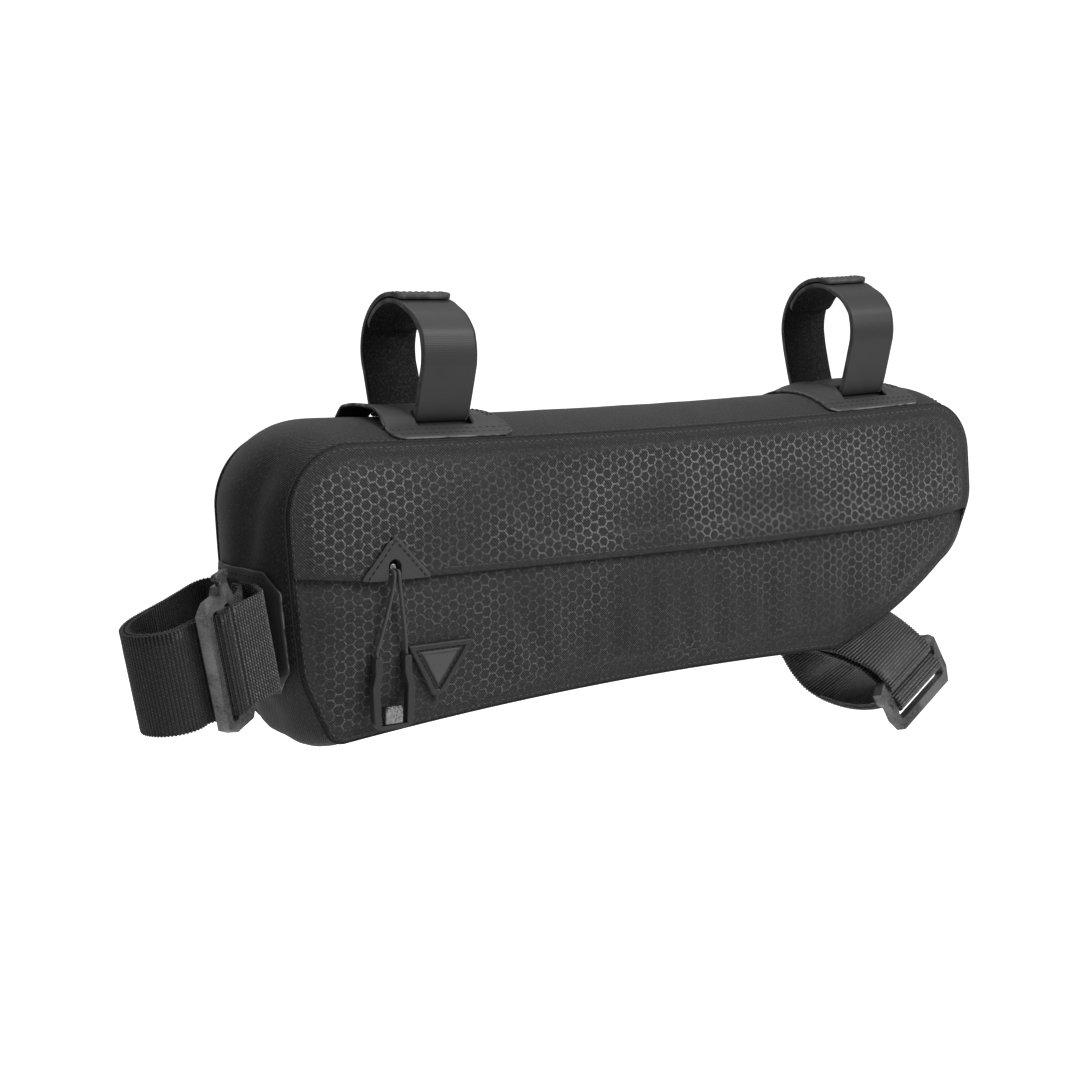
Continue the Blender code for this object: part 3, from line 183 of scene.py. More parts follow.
@dataclass
class BagShape:
    """Sizes and surfaces of the bag's body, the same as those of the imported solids."""

    length: float = 362 * MM
    height: float = 114.5 * MM
    width: float = 60 * MM
    cloth: float = 1.6 * MM
    corner_radius: float = 3 * MM
    lap: float = 5 * MM
    bulge: float = 4.5 * MM
    bulge_rise: float = 30 * MM
    sewn_gap: float = 0.3 * MM
    seam_inset: float = 0.9 * MM
    seat_gap: float = 0.3 * MM
    layer_gap: float = 0.5 * MM
    flap_overlap: float = 4 * MM
    flap_fade: float = 12 * MM
    loop_spacing: float = 225 * MM
    rear_loop_offset: float = 78.5 * MM
    loop_radius: float = 22.8 * MM
    loop_thickness: float = 1.8 * MM
    outline_corners: tuple = (
        # (along, down, radius, bow)
        (0.000, 0.000, 0.236, -0.022),
        (0.988, 0.000, 0.210, 0.000),
        (1.000, 0.384, 0.175, 0.000),
        (0.971, 0.594, 0.218, 0.030),
        (0.775, 0.926, 0.131, -0.037),
        (0.055, 1.000, 0.070, 0.000),
        (0.019, 0.769, 0.262, 0.004),
    )
    crown_stations: tuple = (
        # (along the outline, crown)
        (0.00, 0.115),
        (0.06, 0.125),
        (0.38, 0.125),
        (0.46, 0.090),
        (0.52, 0.060),
        (0.60, 0.060),
        (0.84, 0.055),
        (0.90, 0.090),
        (0.96, 0.120),
        (1.00, 0.115),
    )
    creases: tuple = (
        # (along start, across start, along end, across end, depth, half width)
        (0.035, -0.28, -0.030, -0.02, 0.050, 0.13),
        (0.350, -0.10, 0.372, 0.16, 0.016, 0.12),
        (-0.115, 0.22, -0.075, -0.16, 0.018, 0.12),
    )
    flap_line: tuple = (
        # (along, down)
        (0.00, 0.425),
        (0.10, 0.456),
        (0.35, 0.464),
        (0.65, 0.467),
        (0.82, 0.460),
        (1.00, 0.425),
    )

    def __post_init__(self) -> None:
        """Works out what follows from the sizes."""
        self.half = self.width / 2
        self.rear_x = -self.loop_spacing / 2 - self.rear_loop_offset
        crown = self.width * 0.125
        self.top_z = -(self.loop_radius + self.loop_thickness / 2 + self.seat_gap + crown)
        self.panel_inset = self.lap + self.sewn_gap
        self.tuck = self.cloth + self.layer_gap
        corners = np.array([
            (self.rear_x + row[0] * self.length, self.top_z - row[1] * self.height)
            for row in self.outline_corners
        ])
        self.outline = Outline(
            corners, column(self.outline_corners, 2) * self.height,
            column(self.outline_corners, 3) * self.height,
            4 * MM, math.radians(4),
        )

    def crown_profile(self, across: Array | float) -> Array:
        """Share of the crown at a place across the band, 1 at its middle."""
        flat = self.half - self.corner_radius
        return np.clip(1 - (np.abs(across) / flat) ** 2.2, 0, 1)

    def crease_depth(self, run: Array, across: Array) -> Array:
        """How far the creases press the band inwards."""
        share = np.mod(run / self.outline.length + 0.5, 1.0) - 0.5
        place = np.column_stack((share * self.outline.length, across))
        depth = np.zeros(len(place))
        for a0, c0, a1, c1, deep, half in self.creases:
            start = np.array((a0 * self.outline.length, c0 * self.width))
            span = np.array((a1 * self.outline.length, c1 * self.width)) - start
            rel = place - start
            t = np.clip(rel @ span / (span @ span), 0, 1)
            off = np.linalg.norm(rel - t[:, None] * span, axis=1)
            ends = smoothstep(t / 0.3) * smoothstep((1 - t) / 0.3)
            depth += deep * self.width * ends * np.exp(-((off / (half * self.width)) ** 2))
        return depth

    def band(self, run: Array | float, across: Array | float, lift: Array | float = 0.0) -> Array:
        """Points on the outer face of the gusset band, lifted off it by a distance."""
        run = np.atleast_1d(np.asarray(run, float))
        across = np.broadcast_to(np.asarray(across, float), run.shape)
        point, normal = self.outline.at(run)
        shares = np.mod(run / self.outline.length, 1.0)
        crown = np.interp(
            shares, column(self.crown_stations, 0), column(self.crown_stations, 1),
        ) * self.width
        out = crown * self.crown_profile(across) - self.crease_depth(run, across) + lift
        xz = point + normal * out[:, None]
        return np.column_stack((xz[:, 0], across, xz[:, 1]))

    def flap_z(self, x: Array | float) -> Array:
        """Height of the flap's edge at a place along the bag."""
        share = (np.asarray(x, float) - self.rear_x) / self.length
        return self.top_z - np.interp(
            share, column(self.flap_line, 0), column(self.flap_line, 1),
        ) * self.height

    def side_bulge(self, xz: Array) -> Array:
        """How far a side panel stands out beyond its edge."""
        rise = np.clip((self.outline.depth_inside(xz) - self.panel_inset) / self.bulge_rise, 0, 1)
        return self.bulge * (1 - (1 - rise) ** 2) ** 0.8

    def seam_dip(self, xz: Array) -> Array:
        """How far a panel dips into its seam."""
        return 0.6 * MM * (1 - smoothstep((self.outline.depth_inside(xz) - self.seam_inset) / (3 * MM)))

    def upper_depth(self, xz: Array) -> Array:
        """Distance of the upper panel's outer face from the middle plane."""
        return self.half + self.side_bulge(xz)

    def lower_depth(self, xz: Array) -> Array:
        """Distance of the lower panel's outer face from the middle plane, tucked in under the flap."""
        below = self.flap_z(xz[:, 0]) - xz[:, 1]
        return self.half + self.side_bulge(xz) - self.tuck * smoothstep(1 - below / self.flap_fade)

    def inset_line(self, run_start: float, run_end: float, shares: Sequence[float] | Array) -> Array:
        """Points on a panel's edge line at shares of the way between two distances along the outline."""
        point, normal = self.outline.at(run_start + (run_end - run_start) * np.asarray(shares))
        return point - normal * self.seam_inset

    def edge_run(self, rise: float, low: float, high: float) -> float:
        """Distance along the outline where a panel's edge crosses the flap line lifted by a height."""
        runs = np.linspace(low * self.outline.length, high * self.outline.length, 1200)
        point, normal = self.outline.at(runs)
        edge = point - normal * self.seam_inset
        return float(runs[np.argmin(np.abs(edge[:, 1] - self.flap_z(edge[:, 0]) - rise))])


SHAPE = BagShape()


def grid_object(
    name: str, grid: Array, uv: Array, wrap: bool = False, printed: Array | None = None,
) -> bpy.types.Object:
    """Mesh object of quads through a grid of points, with a UV map in metres.

    Args:
        name: Name of the object.
        grid: Points, rows by columns by 3.
        uv: UV places of the points; with wrap it has one row more than the points.
        wrap: True if the last row joins the first.
        printed: How strongly the hexagons show at each point, 0 to 1.

    Returns:
        The object, linked to the scene and smooth shaded.
    """
    rows, cols = grid.shape[:2]
    mesh = bpy.data.meshes.new(name)
    faces, places = [], []
    for i in range(rows if wrap else rows - 1):
        k = (i + 1) % rows
        for j in range(cols - 1):
            faces.append((i * cols + j, k * cols + j, k * cols + j + 1, i * cols + j + 1))
            places.extend((uv[i, j], uv[i + 1, j], uv[i + 1, j + 1], uv[i, j + 1]))
    mesh.from_pydata(grid.reshape(-1, 3).tolist(), [], faces)
    layer = mesh.uv_layers.new(name="cloth")
    layer.data.foreach_set("uv", np.array(places, np.float32).ravel())
    mesh.polygons.foreach_set("use_smooth", [True] * len(mesh.polygons))
    if printed is not None:
        strength = mesh.attributes.new("printed", "FLOAT", "POINT")
        strength.data.foreach_set("value", printed.ravel().astype(np.float32))
    piece = bpy.data.objects.new(name, mesh)
    bpy.context.scene.collection.objects.link(piece)
    return piece


def face_outwards(piece: bpy.types.Object, outward: Callable[[Vector], Sequence[float]]) -> None:
    """Turns an open sheet's faces so that most of them face as the function says."""
    bm = bmesh.new()
    bm.from_mesh(piece.data)
    facing = sum(f.normal.dot(Vector(outward(f.calc_center_median()))) * f.calc_area() for f in bm.faces)
    if facing < 0:
        bmesh.ops.reverse_faces(bm, faces=bm.faces)
    bm.to_mesh(piece.data)
    bm.free()


def give_wall(
    piece: bpy.types.Object, thickness: float, offset: float = -1.0, edge: float = 0.0, rim_slot: int = 0,
) -> None:
    """Gives an open sheet a wall and softens its rim."""
    wall = piece.modifiers.new("wall", "SOLIDIFY")
    wall.thickness = thickness
    wall.offset = offset
    wall.material_offset_rim = rim_slot
    if edge:
        bevel = piece.modifiers.new("edge", "BEVEL")
        bevel.width = edge
        bevel.segments = 2
        bevel.limit_method = "ANGLE"
        bevel.angle_limit = math.radians(50)


def bake_modifiers(piece: bpy.types.Object) -> None:
    """Turns the evaluated object into its plain mesh and takes the modifiers off."""
    bpy.context.view_layer.update()
    graph = bpy.context.evaluated_depsgraph_get()
    mesh = bpy.data.meshes.new_from_object(
        piece.evaluated_get(graph), preserve_all_data_layers=True, depsgraph=graph,
    )
    piece.modifiers.clear()
    piece.data = mesh


def flat_piece(
    name: str, loops: Sequence[Sequence[Sequence[float]]], thickness: float,
    to_world: Callable[[Array], Sequence[float]], bevel: float, segments: int = 3,
) -> bpy.types.Object:
    """Flat outline, with holes where more loops are given, thickened, placed and its edges rounded."""
    curve = bpy.data.curves.new(name, "CURVE")
    curve.dimensions = "2D"
    curve.fill_mode = "BOTH"
    curve.extrude = thickness / 2
    for loop in loops:
        spline = curve.splines.new("POLY")
        spline.points.add(len(loop) - 1)
        for point, (u, v) in zip(spline.points, loop):
            point.co = (u, v, 0, 1)
        spline.use_cyclic_u = True
    guide = bpy.data.objects.new(name + "_outline", curve)
    bpy.context.scene.collection.objects.link(guide)
    bpy.context.view_layer.update()
    seen = guide.evaluated_get(bpy.context.evaluated_depsgraph_get())
    mesh = bpy.data.meshes.new_from_object(seen)
    bpy.data.objects.remove(guide)
    bm = bmesh.new()
    bm.from_mesh(mesh)
    bmesh.ops.remove_doubles(bm, verts=bm.verts, dist=0.00001)
    bmesh.ops.dissolve_limit(bm, angle_limit=0.02, verts=bm.verts, edges=bm.edges)
    for vert in bm.verts:
        vert.co = Vector(to_world(np.array(vert.co)))
    bm.normal_update()
    bmesh.ops.recalc_face_normals(bm, faces=bm.faces)
    mesh.materials.clear()
    bm.to_mesh(mesh)
    bm.free()
    piece = bpy.data.objects.new(name, mesh)
    bpy.context.scene.collection.objects.link(piece)
    chamfer = piece.modifiers.new("edges", "BEVEL")
    chamfer.width = bevel
    chamfer.segments = segments
    chamfer.limit_method = "ANGLE"
    chamfer.angle_limit = math.radians(35)
    chamfer.harden_normals = False
    return piece


def rounded_loop(corners: Sequence[Sequence[float]], radii: Sequence[float], steps: int = 6) -> list[Array]:
    """Closed loop through 2-D corners, each rounded by its radius."""
    points = [np.array(c, float) for c in corners]
    loop: list[Array] = []
    for i, corner in enumerate(points):
        before, after = points[i - 1], points[(i + 1) % len(points)]
        into = (corner - before) / np.linalg.norm(corner - before)
        out = (after - corner) / np.linalg.norm(after - corner)
        cross = into[0] * out[1] - into[1] * out[0]
        turn = math.acos(float(np.clip(into @ out, -1, 1)))
        if radii[i] <= 0 or turn < 0.02:
            loop.append(corner)
            continue
        reach = radii[i] * math.tan(turn / 2)
        side = math.copysign(1.0, cross)
        normal = np.array((-into[1], into[0])) * side
        centre = corner - into * reach + normal * radii[i]
        for a in np.linspace(0, turn, steps):
            loop.append(centre - normal * radii[i] * math.cos(a) + into * radii[i] * math.sin(a))
    return loop


class Wiring:
    """Adds and links nodes in one shader tree."""

    def __init__(self, tree: bpy.types.NodeTree) -> None:
        """Keeps the tree that the nodes go into."""
        self.tree = tree

    def add(self, kind: str, **settings: object) -> bpy.types.Node:
        """New node of a type, with its properties set."""
        node = self.tree.nodes.new(kind)
        for key, value in settings.items():
            setattr(node, key, value)
        return node

    def feed(self, socket: Socket, value: object) -> None:
        """Links a socket into an input, or sets the input to a number, vector or colour."""
        if isinstance(value, bpy.types.NodeSocket):
            self.tree.links.new(value, socket)
        else:
            socket.default_value = value

    def math(self, operation: str, *values: object, clamp: bool = False) -> Socket:
        """Math node over one, two or three values."""
        node = self.add("ShaderNodeMath", operation=operation, use_clamp=clamp)
        for socket, value in zip(node.inputs, values):
            self.feed(socket, value)
        return node.outputs[0]

    def vector(self, operation: str, *values: object) -> Socket:
        """Vector math node; dot product and length give a number."""
        node = self.add("ShaderNodeVectorMath", operation=operation)
        for socket, value in zip(node.inputs, values):
            self.feed(socket, value)
        return node.outputs["Value" if operation in ("DOT_PRODUCT", "LENGTH") else "Vector"]

    def noise(self, vector: Socket, scale: float, detail: float = 3.0, rough: float = 0.55) -> Socket:
        """Noise value over a vector in metres."""
        node = self.add("ShaderNodeTexNoise")
        self.feed(node.inputs["Vector"], vector)
        node.inputs["Scale"].default_value = scale
        node.inputs["Detail"].default_value = detail
        node.inputs["Roughness"].default_value = rough
        return node.outputs["Fac"]

    def between(
        self, value: object, low: float, high: float, to_low: float = 0.0, to_high: float = 1.0,
    ) -> Socket:
        """Smoothly remaps a value from one range to another, clamped."""
        node = self.add("ShaderNodeMapRange", interpolation_type="SMOOTHSTEP")
        self.feed(node.inputs["Value"], value)
        node.inputs["From Min"].default_value = low
        node.inputs["From Max"].default_value = high
        node.inputs["To Min"].default_value = to_low
        node.inputs["To Max"].default_value = to_high
        return node.outputs["Result"]

    def blend(self, factor: object, first: object, second: object, mode: str = "MIX") -> Socket:
        """Colour mix of two values."""
        node = self.add("ShaderNodeMix", data_type="RGBA", blend_type=mode, clamp_factor=True)
        self.feed(node.inputs[0], factor)
        self.feed(node.inputs[6], first)
        self.feed(node.inputs[7], second)
        return node.outputs[2]

    def bump(self, height: Socket, strength: float, distance: float) -> Socket:
        """Normal of a bump from a height."""
        node = self.add("ShaderNodeBump")
        node.inputs["Strength"].default_value = strength
        node.inputs["Distance"].default_value = distance
        self.feed(node.inputs["Height"], height)
        return node.outputs["Normal"]

    def cloth_place(self) -> Socket:
        """The piece's own UV place in metres."""
        return self.add("ShaderNodeUVMap", uv_map="cloth").outputs["UV"]

    def object_place(self) -> Socket:
        """Object coordinates, in metres."""
        return self.add("ShaderNodeTexCoord").outputs["Object"]

    def group(self, tree: bpy.types.NodeTree, **values: object) -> bpy.types.Node:
        """A group node with its named inputs fed; underscores in the names stand for spaces."""
        node = self.add("ShaderNodeGroup", node_tree=tree)
        for key, value in values.items():
            self.feed(node.inputs[key.replace("_", " ").capitalize()], value)
        return node


def new_group(
    name: str, inputs: Sequence[tuple[str, str, float]], outputs: Sequence[tuple[str, str]],
) -> tuple[bpy.types.NodeTree, Wiring, bpy.types.Node, bpy.types.Node]:
    """Empty shader group with its sockets.

    Args:
        name: Name of the group.
        inputs: Name, socket type and default of each input.
        outputs: Name and socket type of each output.

    Returns:
        The group, its wiring, and its input and output nodes.
    """
    tree = bpy.data.node_groups.new(name, "ShaderNodeTree")
    for label, kind, default in inputs:
        socket = tree.interface.new_socket(label, in_out="INPUT", socket_type=kind)
        if kind == "NodeSocketFloat":
            socket.default_value = default
    for label, kind in outputs:
        tree.interface.new_socket(label, in_out="OUTPUT", socket_type=kind)
    wiring = Wiring(tree)
    return tree, wiring, wiring.add("NodeGroupInput"), wiring.add("NodeGroupOutput")


FLOAT, VECTOR = "NodeSocketFloat", "NodeSocketVector"


def twill_group() -> bpy.types.NodeTree:
    """Diagonal weave: ribs of yarn at a pitch, each broken by its crossing yarns."""
    tree, w, given, out = new_group(
        "diagonal_weave", [("Place", VECTOR, 0), ("Pitch", FLOAT, 0.0009), ("Lean", FLOAT, 1.0)],
        [("Height", FLOAT), ("Fleck", FLOAT)],
    )
    place = given.outputs["Place"]
    parts = w.add("ShaderNodeSeparateXYZ")
    w.feed(parts.inputs[0], place)
    wobble = w.math("MULTIPLY", w.noise(place, 420.0, 2.0), 0.00035)
    ribs = w.math("ADD", w.math("MULTIPLY", parts.outputs["X"], given.outputs["Lean"]), parts.outputs["Y"])
    ribs = w.math("ADD", ribs, wobble)
    turn = w.math("DIVIDE", w.math("MULTIPLY", ribs, 2 * math.pi), given.outputs["Pitch"])
    ridge = w.math("MULTIPLY_ADD", w.math("SINE", turn), 0.5, 0.5)
    cross = w.math(
        "SUBTRACT", w.math("MULTIPLY", parts.outputs["X"], given.outputs["Lean"]), parts.outputs["Y"],
    )
    cross_turn = w.math(
        "DIVIDE", w.math("MULTIPLY", cross, 2 * math.pi), w.math("MULTIPLY", given.outputs["Pitch"], 0.8),
    )
    beads = w.math("MULTIPLY_ADD", w.math("SINE", cross_turn), 0.5, 0.5)
    height = w.math("MULTIPLY", ridge, w.math("MULTIPLY_ADD", beads, 0.4, 0.6))
    grain = w.between(w.noise(place, 900.0, 2.0), 0.45, 0.75)
    fleck = w.math("MULTIPLY", w.math("POWER", height, 2.0), w.math("MULTIPLY_ADD", grain, 0.8, 0.25))
    w.feed(out.inputs["Height"], height)
    w.feed(out.inputs["Fleck"], fleck)
    return tree


def honeycomb_group() -> bpy.types.NodeTree:
    """Hexagon ripstop lines in the cloth, 1 on a line and 0 inside a cell."""
    tree, w, given, out = new_group(
        "honeycomb_lines",
        [
            ("Place", VECTOR, 0), ("Column pitch", FLOAT, 0.0041), ("Row pitch", FLOAT, 0.0042),
            ("Line", FLOAT, 0.12),
        ],
        [("Line", FLOAT)],
    )
    parts = w.add("ShaderNodeSeparateXYZ")
    w.feed(parts.inputs[0], given.outputs["Place"])
    root3 = math.sqrt(3)
    across = w.math(
        "MULTIPLY", w.math("DIVIDE", parts.outputs["X"], given.outputs["Column pitch"]), root3 / 2,
    )
    up = w.math("DIVIDE", parts.outputs["Y"], given.outputs["Row pitch"])
    joined = w.add("ShaderNodeCombineXYZ")
    w.feed(joined.inputs[0], w.math("ADD", up, 200.0))
    w.feed(joined.inputs[1], w.math("ADD", across, 200.0))
    cell = (1.0, root3, 1.0)
    half = (0.5, root3 / 2, 0.0)
    first = w.vector("SUBTRACT", w.vector("MODULO", joined.outputs[0], cell), half)
    moved = w.vector("SUBTRACT", joined.outputs[0], half)
    second = w.vector("SUBTRACT", w.vector("MODULO", moved, cell), half)
    nearer = w.math(
        "LESS_THAN", w.vector("DOT_PRODUCT", first, first), w.vector("DOT_PRODUCT", second, second),
    )
    pick = w.add("ShaderNodeMix", data_type="VECTOR")
    w.feed(pick.inputs[0], nearer)
    w.feed(pick.inputs[4], second)
    w.feed(pick.inputs[5], first)
    inside = w.vector("ABSOLUTE", pick.outputs[1])
    split = w.add("ShaderNodeSeparateXYZ")
    w.feed(split.inputs[0], inside)
    slant = w.vector("DOT_PRODUCT", inside, (0.5, root3 / 2, 0.0))
    reach = w.math("MAXIMUM", slant, split.outputs["X"])
    edge = w.math("SUBTRACT", 0.5, reach)
    line = w.math("SUBTRACT", 1.0, w.math("DIVIDE", edge, given.outputs["Line"]), clamp=True)
    w.feed(out.inputs["Line"], line)
    return tree


def speckle_group() -> bpy.types.NodeTree:
    """Fine grain and slow blotches that every surface of the bag has, as numbers round 0.5."""
    tree, w, given, out = new_group(
        "grain_and_blotches",
        [("Place", VECTOR, 0), ("Grain scale", FLOAT, 1800.0), ("Blotch scale", FLOAT, 18.0)],
        [("Grain", FLOAT), ("Blotch", FLOAT), ("Dust", FLOAT)],
    )
    for label, socket, detail in (("Grain", "Grain scale", 2.0), ("Blotch", "Blotch scale", 4.0)):
        node = w.add("ShaderNodeTexNoise")
        w.feed(node.inputs["Vector"], given.outputs["Place"])
        w.feed(node.inputs["Scale"], given.outputs[socket])
        node.inputs["Detail"].default_value = detail
        w.feed(out.inputs[label], node.outputs["Fac"])
    dust = w.between(w.noise(given.outputs["Place"], 3200.0, 1.0), 0.70, 0.78)
    w.feed(out.inputs["Dust"], dust)
    return tree


class Groups:
    """The shader groups that several finishes share."""

    def __init__(self) -> None:
        """Builds each group once."""
        self.twill = twill_group()
        self.honeycomb = honeycomb_group()
        self.speckle = speckle_group()


class Finish:
    """Base of the finishes: a material whose tree is wired by the finish itself."""

    name = "finish"

    def build(self, groups: Groups) -> bpy.types.Material:
        """Makes the material."""
        made = bpy.data.materials.new(self.name)
        made.use_nodes = True
        shader = made.node_tree.nodes["Principled BSDF"]
        self.wire(Wiring(made.node_tree), shader, groups)
        return made

    def wire(self, w: Wiring, shader: bpy.types.Node, groups: Groups) -> None:
        """Wires the finish's own tree."""
        raise NotImplementedError

    @staticmethod
    def surface(
        w: Wiring, shader: bpy.types.Node, colour: object, roughness: object, normal: Socket | None = None,
    ) -> None:
        """Feeds the three inputs that every finish has."""
        w.feed(shader.inputs["Base Color"], colour)
        w.feed(shader.inputs["Roughness"], roughness)
        if normal is not None:
            w.feed(shader.inputs["Normal"], normal)


def grey(value: float) -> tuple[float, float, float, float]:
    """Neutral colour."""
    return (value, value, value * 1.02, 1.0)


@dataclass(frozen=True)
class WovenCloth(Finish):
    """Coated cloth with a fine diagonal weave, and hexagon lines where it has them."""

    name: str = "coated_cloth"
    ground: float = 0.010
    yarn: float = 0.165
    pitch: float = 0.00112
    line: float = 0.0
    line_width: float = 0.13
    column_pitch: float = 0.00385
    row_pitch: float = 0.0042
    patchiness: float = 1.0
    roughness: float = 0.62
    relief: float = 0.00022
    lean: float = 1.0

    def wire(self, w: Wiring, shader: bpy.types.Node, groups: Groups) -> None:
        """Diagonal yarn flecks over a dark ground, blotches, and faded hexagon lines."""
        place = w.cloth_place()
        twill = w.group(groups.twill, place=place, pitch=self.pitch, lean=self.lean)
        speck = w.group(groups.speckle, place=place)
        fleck = twill.outputs["Fleck"]
        blotch = w.math("MULTIPLY_ADD", speck.outputs["Blotch"], 0.7, 0.65)
        cloth = w.blend(fleck, grey(self.ground), grey(self.yarn))
        height = twill.outputs["Height"]
        if self.line:
            comb = w.group(
                groups.honeycomb, place=place, column_pitch=self.column_pitch, row_pitch=self.row_pitch,
                line=self.line_width,
            )
            dots = w.math("MULTIPLY_ADD", twill.outputs["Height"], 0.85, 0.25)
            fade = w.between(w.noise(place, 13.0, 2.0), 0.40, 0.60, 1.0 - self.patchiness, 1.0)
            printed = w.add("ShaderNodeAttribute", attribute_name="printed").outputs["Fac"]
            crumb = w.math("MULTIPLY", w.between(w.noise(place, 900.0, 2.0), 0.34, 0.58), printed)
            strength = w.math(
                "MULTIPLY", w.math("MULTIPLY", comb.outputs["Line"], dots), w.math("MULTIPLY", fade, crumb),
            )
            cloth = w.blend(w.math("MULTIPLY", strength, 1.5, clamp=True), cloth, grey(self.line))
            height = w.math("ADD", height, w.math("MULTIPLY", strength, 0.8))
        shade = w.blend(1.0, cloth, self.as_colour(w, blotch), "MULTIPLY")
        rough = w.math("MULTIPLY_ADD", speck.outputs["Grain"], 0.16, self.roughness - 0.08)
        self.surface(w, shader, shade, rough, w.bump(height, 0.55, self.relief))
        shader.inputs["Sheen Weight"].default_value = 0.12
        shader.inputs["Sheen Roughness"].default_value = 0.45
        shader.inputs["Specular IOR Level"].default_value = 0.35

    @staticmethod
    def as_colour(w: Wiring, value: Socket) -> Socket:
        """A number as a grey colour."""
        node = w.add("ShaderNodeCombineColor")
        for socket in node.inputs:
            w.feed(socket, value)
        return node.outputs[0]


@dataclass(frozen=True)
class SmoothPatch(Finish):
    """Smooth coated patch with faint grain."""

    name: str = "smooth_patch"
    tone: float = 0.050
    roughness: float = 0.52
    relief: float = 0.00005
    grain_scale: float = 1500.0
    sheen: float = 0.05

    def wire(self, w: Wiring, shader: bpy.types.Node, groups: Groups) -> None:
        """Grain in tone and relief."""
        speck = w.group(groups.speckle, place=w.object_place(), grain_scale=self.grain_scale)
        grain, blotch = speck.outputs["Grain"], speck.outputs["Blotch"]
        tone = w.math("MULTIPLY_ADD", grain, 0.55, w.math("MULTIPLY_ADD", blotch, 0.35, 0.55))
        colour = w.blend(1.0, grey(self.tone), WovenCloth.as_colour(w, tone), "MULTIPLY")
        colour = w.blend(w.math("MULTIPLY", speck.outputs["Dust"], 0.10), colour, grey(0.22))
        rough = w.math("MULTIPLY_ADD", grain, 0.2, self.roughness - 0.1)
        self.surface(w, shader, colour, rough, w.bump(grain, 0.4, self.relief))
        shader.inputs["Sheen Weight"].default_value = self.sheen


@dataclass(frozen=True)
class CutEdge(Finish):
    """Raw cut edge of a patch, lighter than its face."""

    name: str = "cut_edge"
    tone: float = 0.34

    def wire(self, w: Wiring, shader: bpy.types.Node, groups: Groups) -> None:
        """Broken light line."""
        speck = w.group(groups.speckle, place=w.object_place(), grain_scale=900.0, blotch_scale=160.0)
        worn = w.between(speck.outputs["Blotch"], 0.40, 0.62, 0.15, 1.0)
        self.surface(w, shader, w.blend(worn, grey(0.05), grey(self.tone)), 0.8)


@dataclass(frozen=True)
class Webbing(Finish):
    """Ribbed nylon webbing: dull ground and slightly glossy ribs of twisted yarn."""

    name: str = "ribbed_webbing"
    ground: float = 0.008
    rib: float = 0.030
    roughness: float = 0.42
    twist: float = 0.0011

    def wire(self, w: Wiring, shader: bpy.types.Node, groups: Groups) -> None:
        """Yarn twist along each rib and mottling."""
        place = w.object_place()
        speck = w.group(groups.speckle, place=place, grain_scale=1400.0, blotch_scale=60.0)
        parts = w.add("ShaderNodeSeparateXYZ")
        w.feed(parts.inputs[0], place)
        slope = w.math("ADD", parts.outputs["Z"], w.math("MULTIPLY", parts.outputs["X"], 0.6))
        slope = w.math("ADD", slope, w.math("MULTIPLY", speck.outputs["Grain"], 0.0006))
        beads = w.math(
            "MULTIPLY_ADD", w.math("SINE", w.math("MULTIPLY", slope, 2 * math.pi / self.twist)), 0.5, 0.5,
        )
        worn = w.between(speck.outputs["Grain"], 0.42, 0.68)
        # The rib tone at each twist is the lit colour of the yarn; in the bright copy it is painted
        # highlight.
        lit = w.math("MULTIPLY", beads, w.math("MULTIPLY_ADD", worn, 0.8, 0.25))
        tone = w.blend(lit, grey(self.ground), grey(self.rib))
        self.surface(w, shader, tone, w.math("MULTIPLY_ADD", worn, -0.12, self.roughness + 0.06),
                     w.bump(beads, 0.5, 0.00010))
        shader.inputs["Sheen Weight"].default_value = 0.08
        shader.inputs["Specular IOR Level"].default_value = 0.5


@dataclass(frozen=True)
class LoopFace(Finish):
    """Satin woven outside of a hook-and-loop strap, with fine lines across it."""

    name: str = "hook_and_loop"
    tone: float = 0.034
    roughness: float = 0.46

    def wire(self, w: Wiring, shader: bpy.types.Node, groups: Groups) -> None:
        """Fine cross lines with a soft shine."""
        place = w.cloth_place()
        parts = w.add("ShaderNodeSeparateXYZ")
        w.feed(parts.inputs[0], place)
        speck = w.group(groups.speckle, place=place, grain_scale=1600.0, blotch_scale=40.0)
        along = w.math("SINE", w.math("MULTIPLY", parts.outputs["X"], 2 * math.pi / 0.00085))
        over = w.math("SINE", w.math("MULTIPLY", parts.outputs["Y"], 2 * math.pi / 0.00070))
        weave = w.math(
            "MULTIPLY_ADD", w.math("MULTIPLY", along, over), 0.35, w.math("MULTIPLY_ADD", along, 0.15, 0.5),
        )
        tone = w.math("MULTIPLY_ADD", weave, 0.7, w.math("MULTIPLY_ADD", speck.outputs["Blotch"], 0.4, 0.45))
        colour = w.blend(1.0, grey(self.tone), WovenCloth.as_colour(w, tone), "MULTIPLY")
        self.surface(
            w, shader, colour, w.math("MULTIPLY_ADD", speck.outputs["Grain"], 0.15, self.roughness - 0.07),
            w.bump(weave, 0.5, 0.00007),
        )
        shader.inputs["Sheen Weight"].default_value = 0.15
        shader.inputs["Sheen Roughness"].default_value = 0.35


@dataclass(frozen=True)
class Pile(Finish):
    """Dark looped pile inside the hook-and-loop straps."""

    name: str = "loop_pile"
    tone: float = 0.012

    def wire(self, w: Wiring, shader: bpy.types.Node, groups: Groups) -> None:
        """Coarse fuzz."""
        place = w.object_place()
        speck = w.group(groups.speckle, place=place, grain_scale=1300.0, blotch_scale=90.0)
        fuzz = w.between(speck.outputs["Grain"], 0.45, 0.72)
        self.surface(w, shader, w.blend(fuzz, grey(0.004), grey(self.tone * 2.6)), 0.95,
                     w.bump(speck.outputs["Grain"], 0.9, 0.0006))


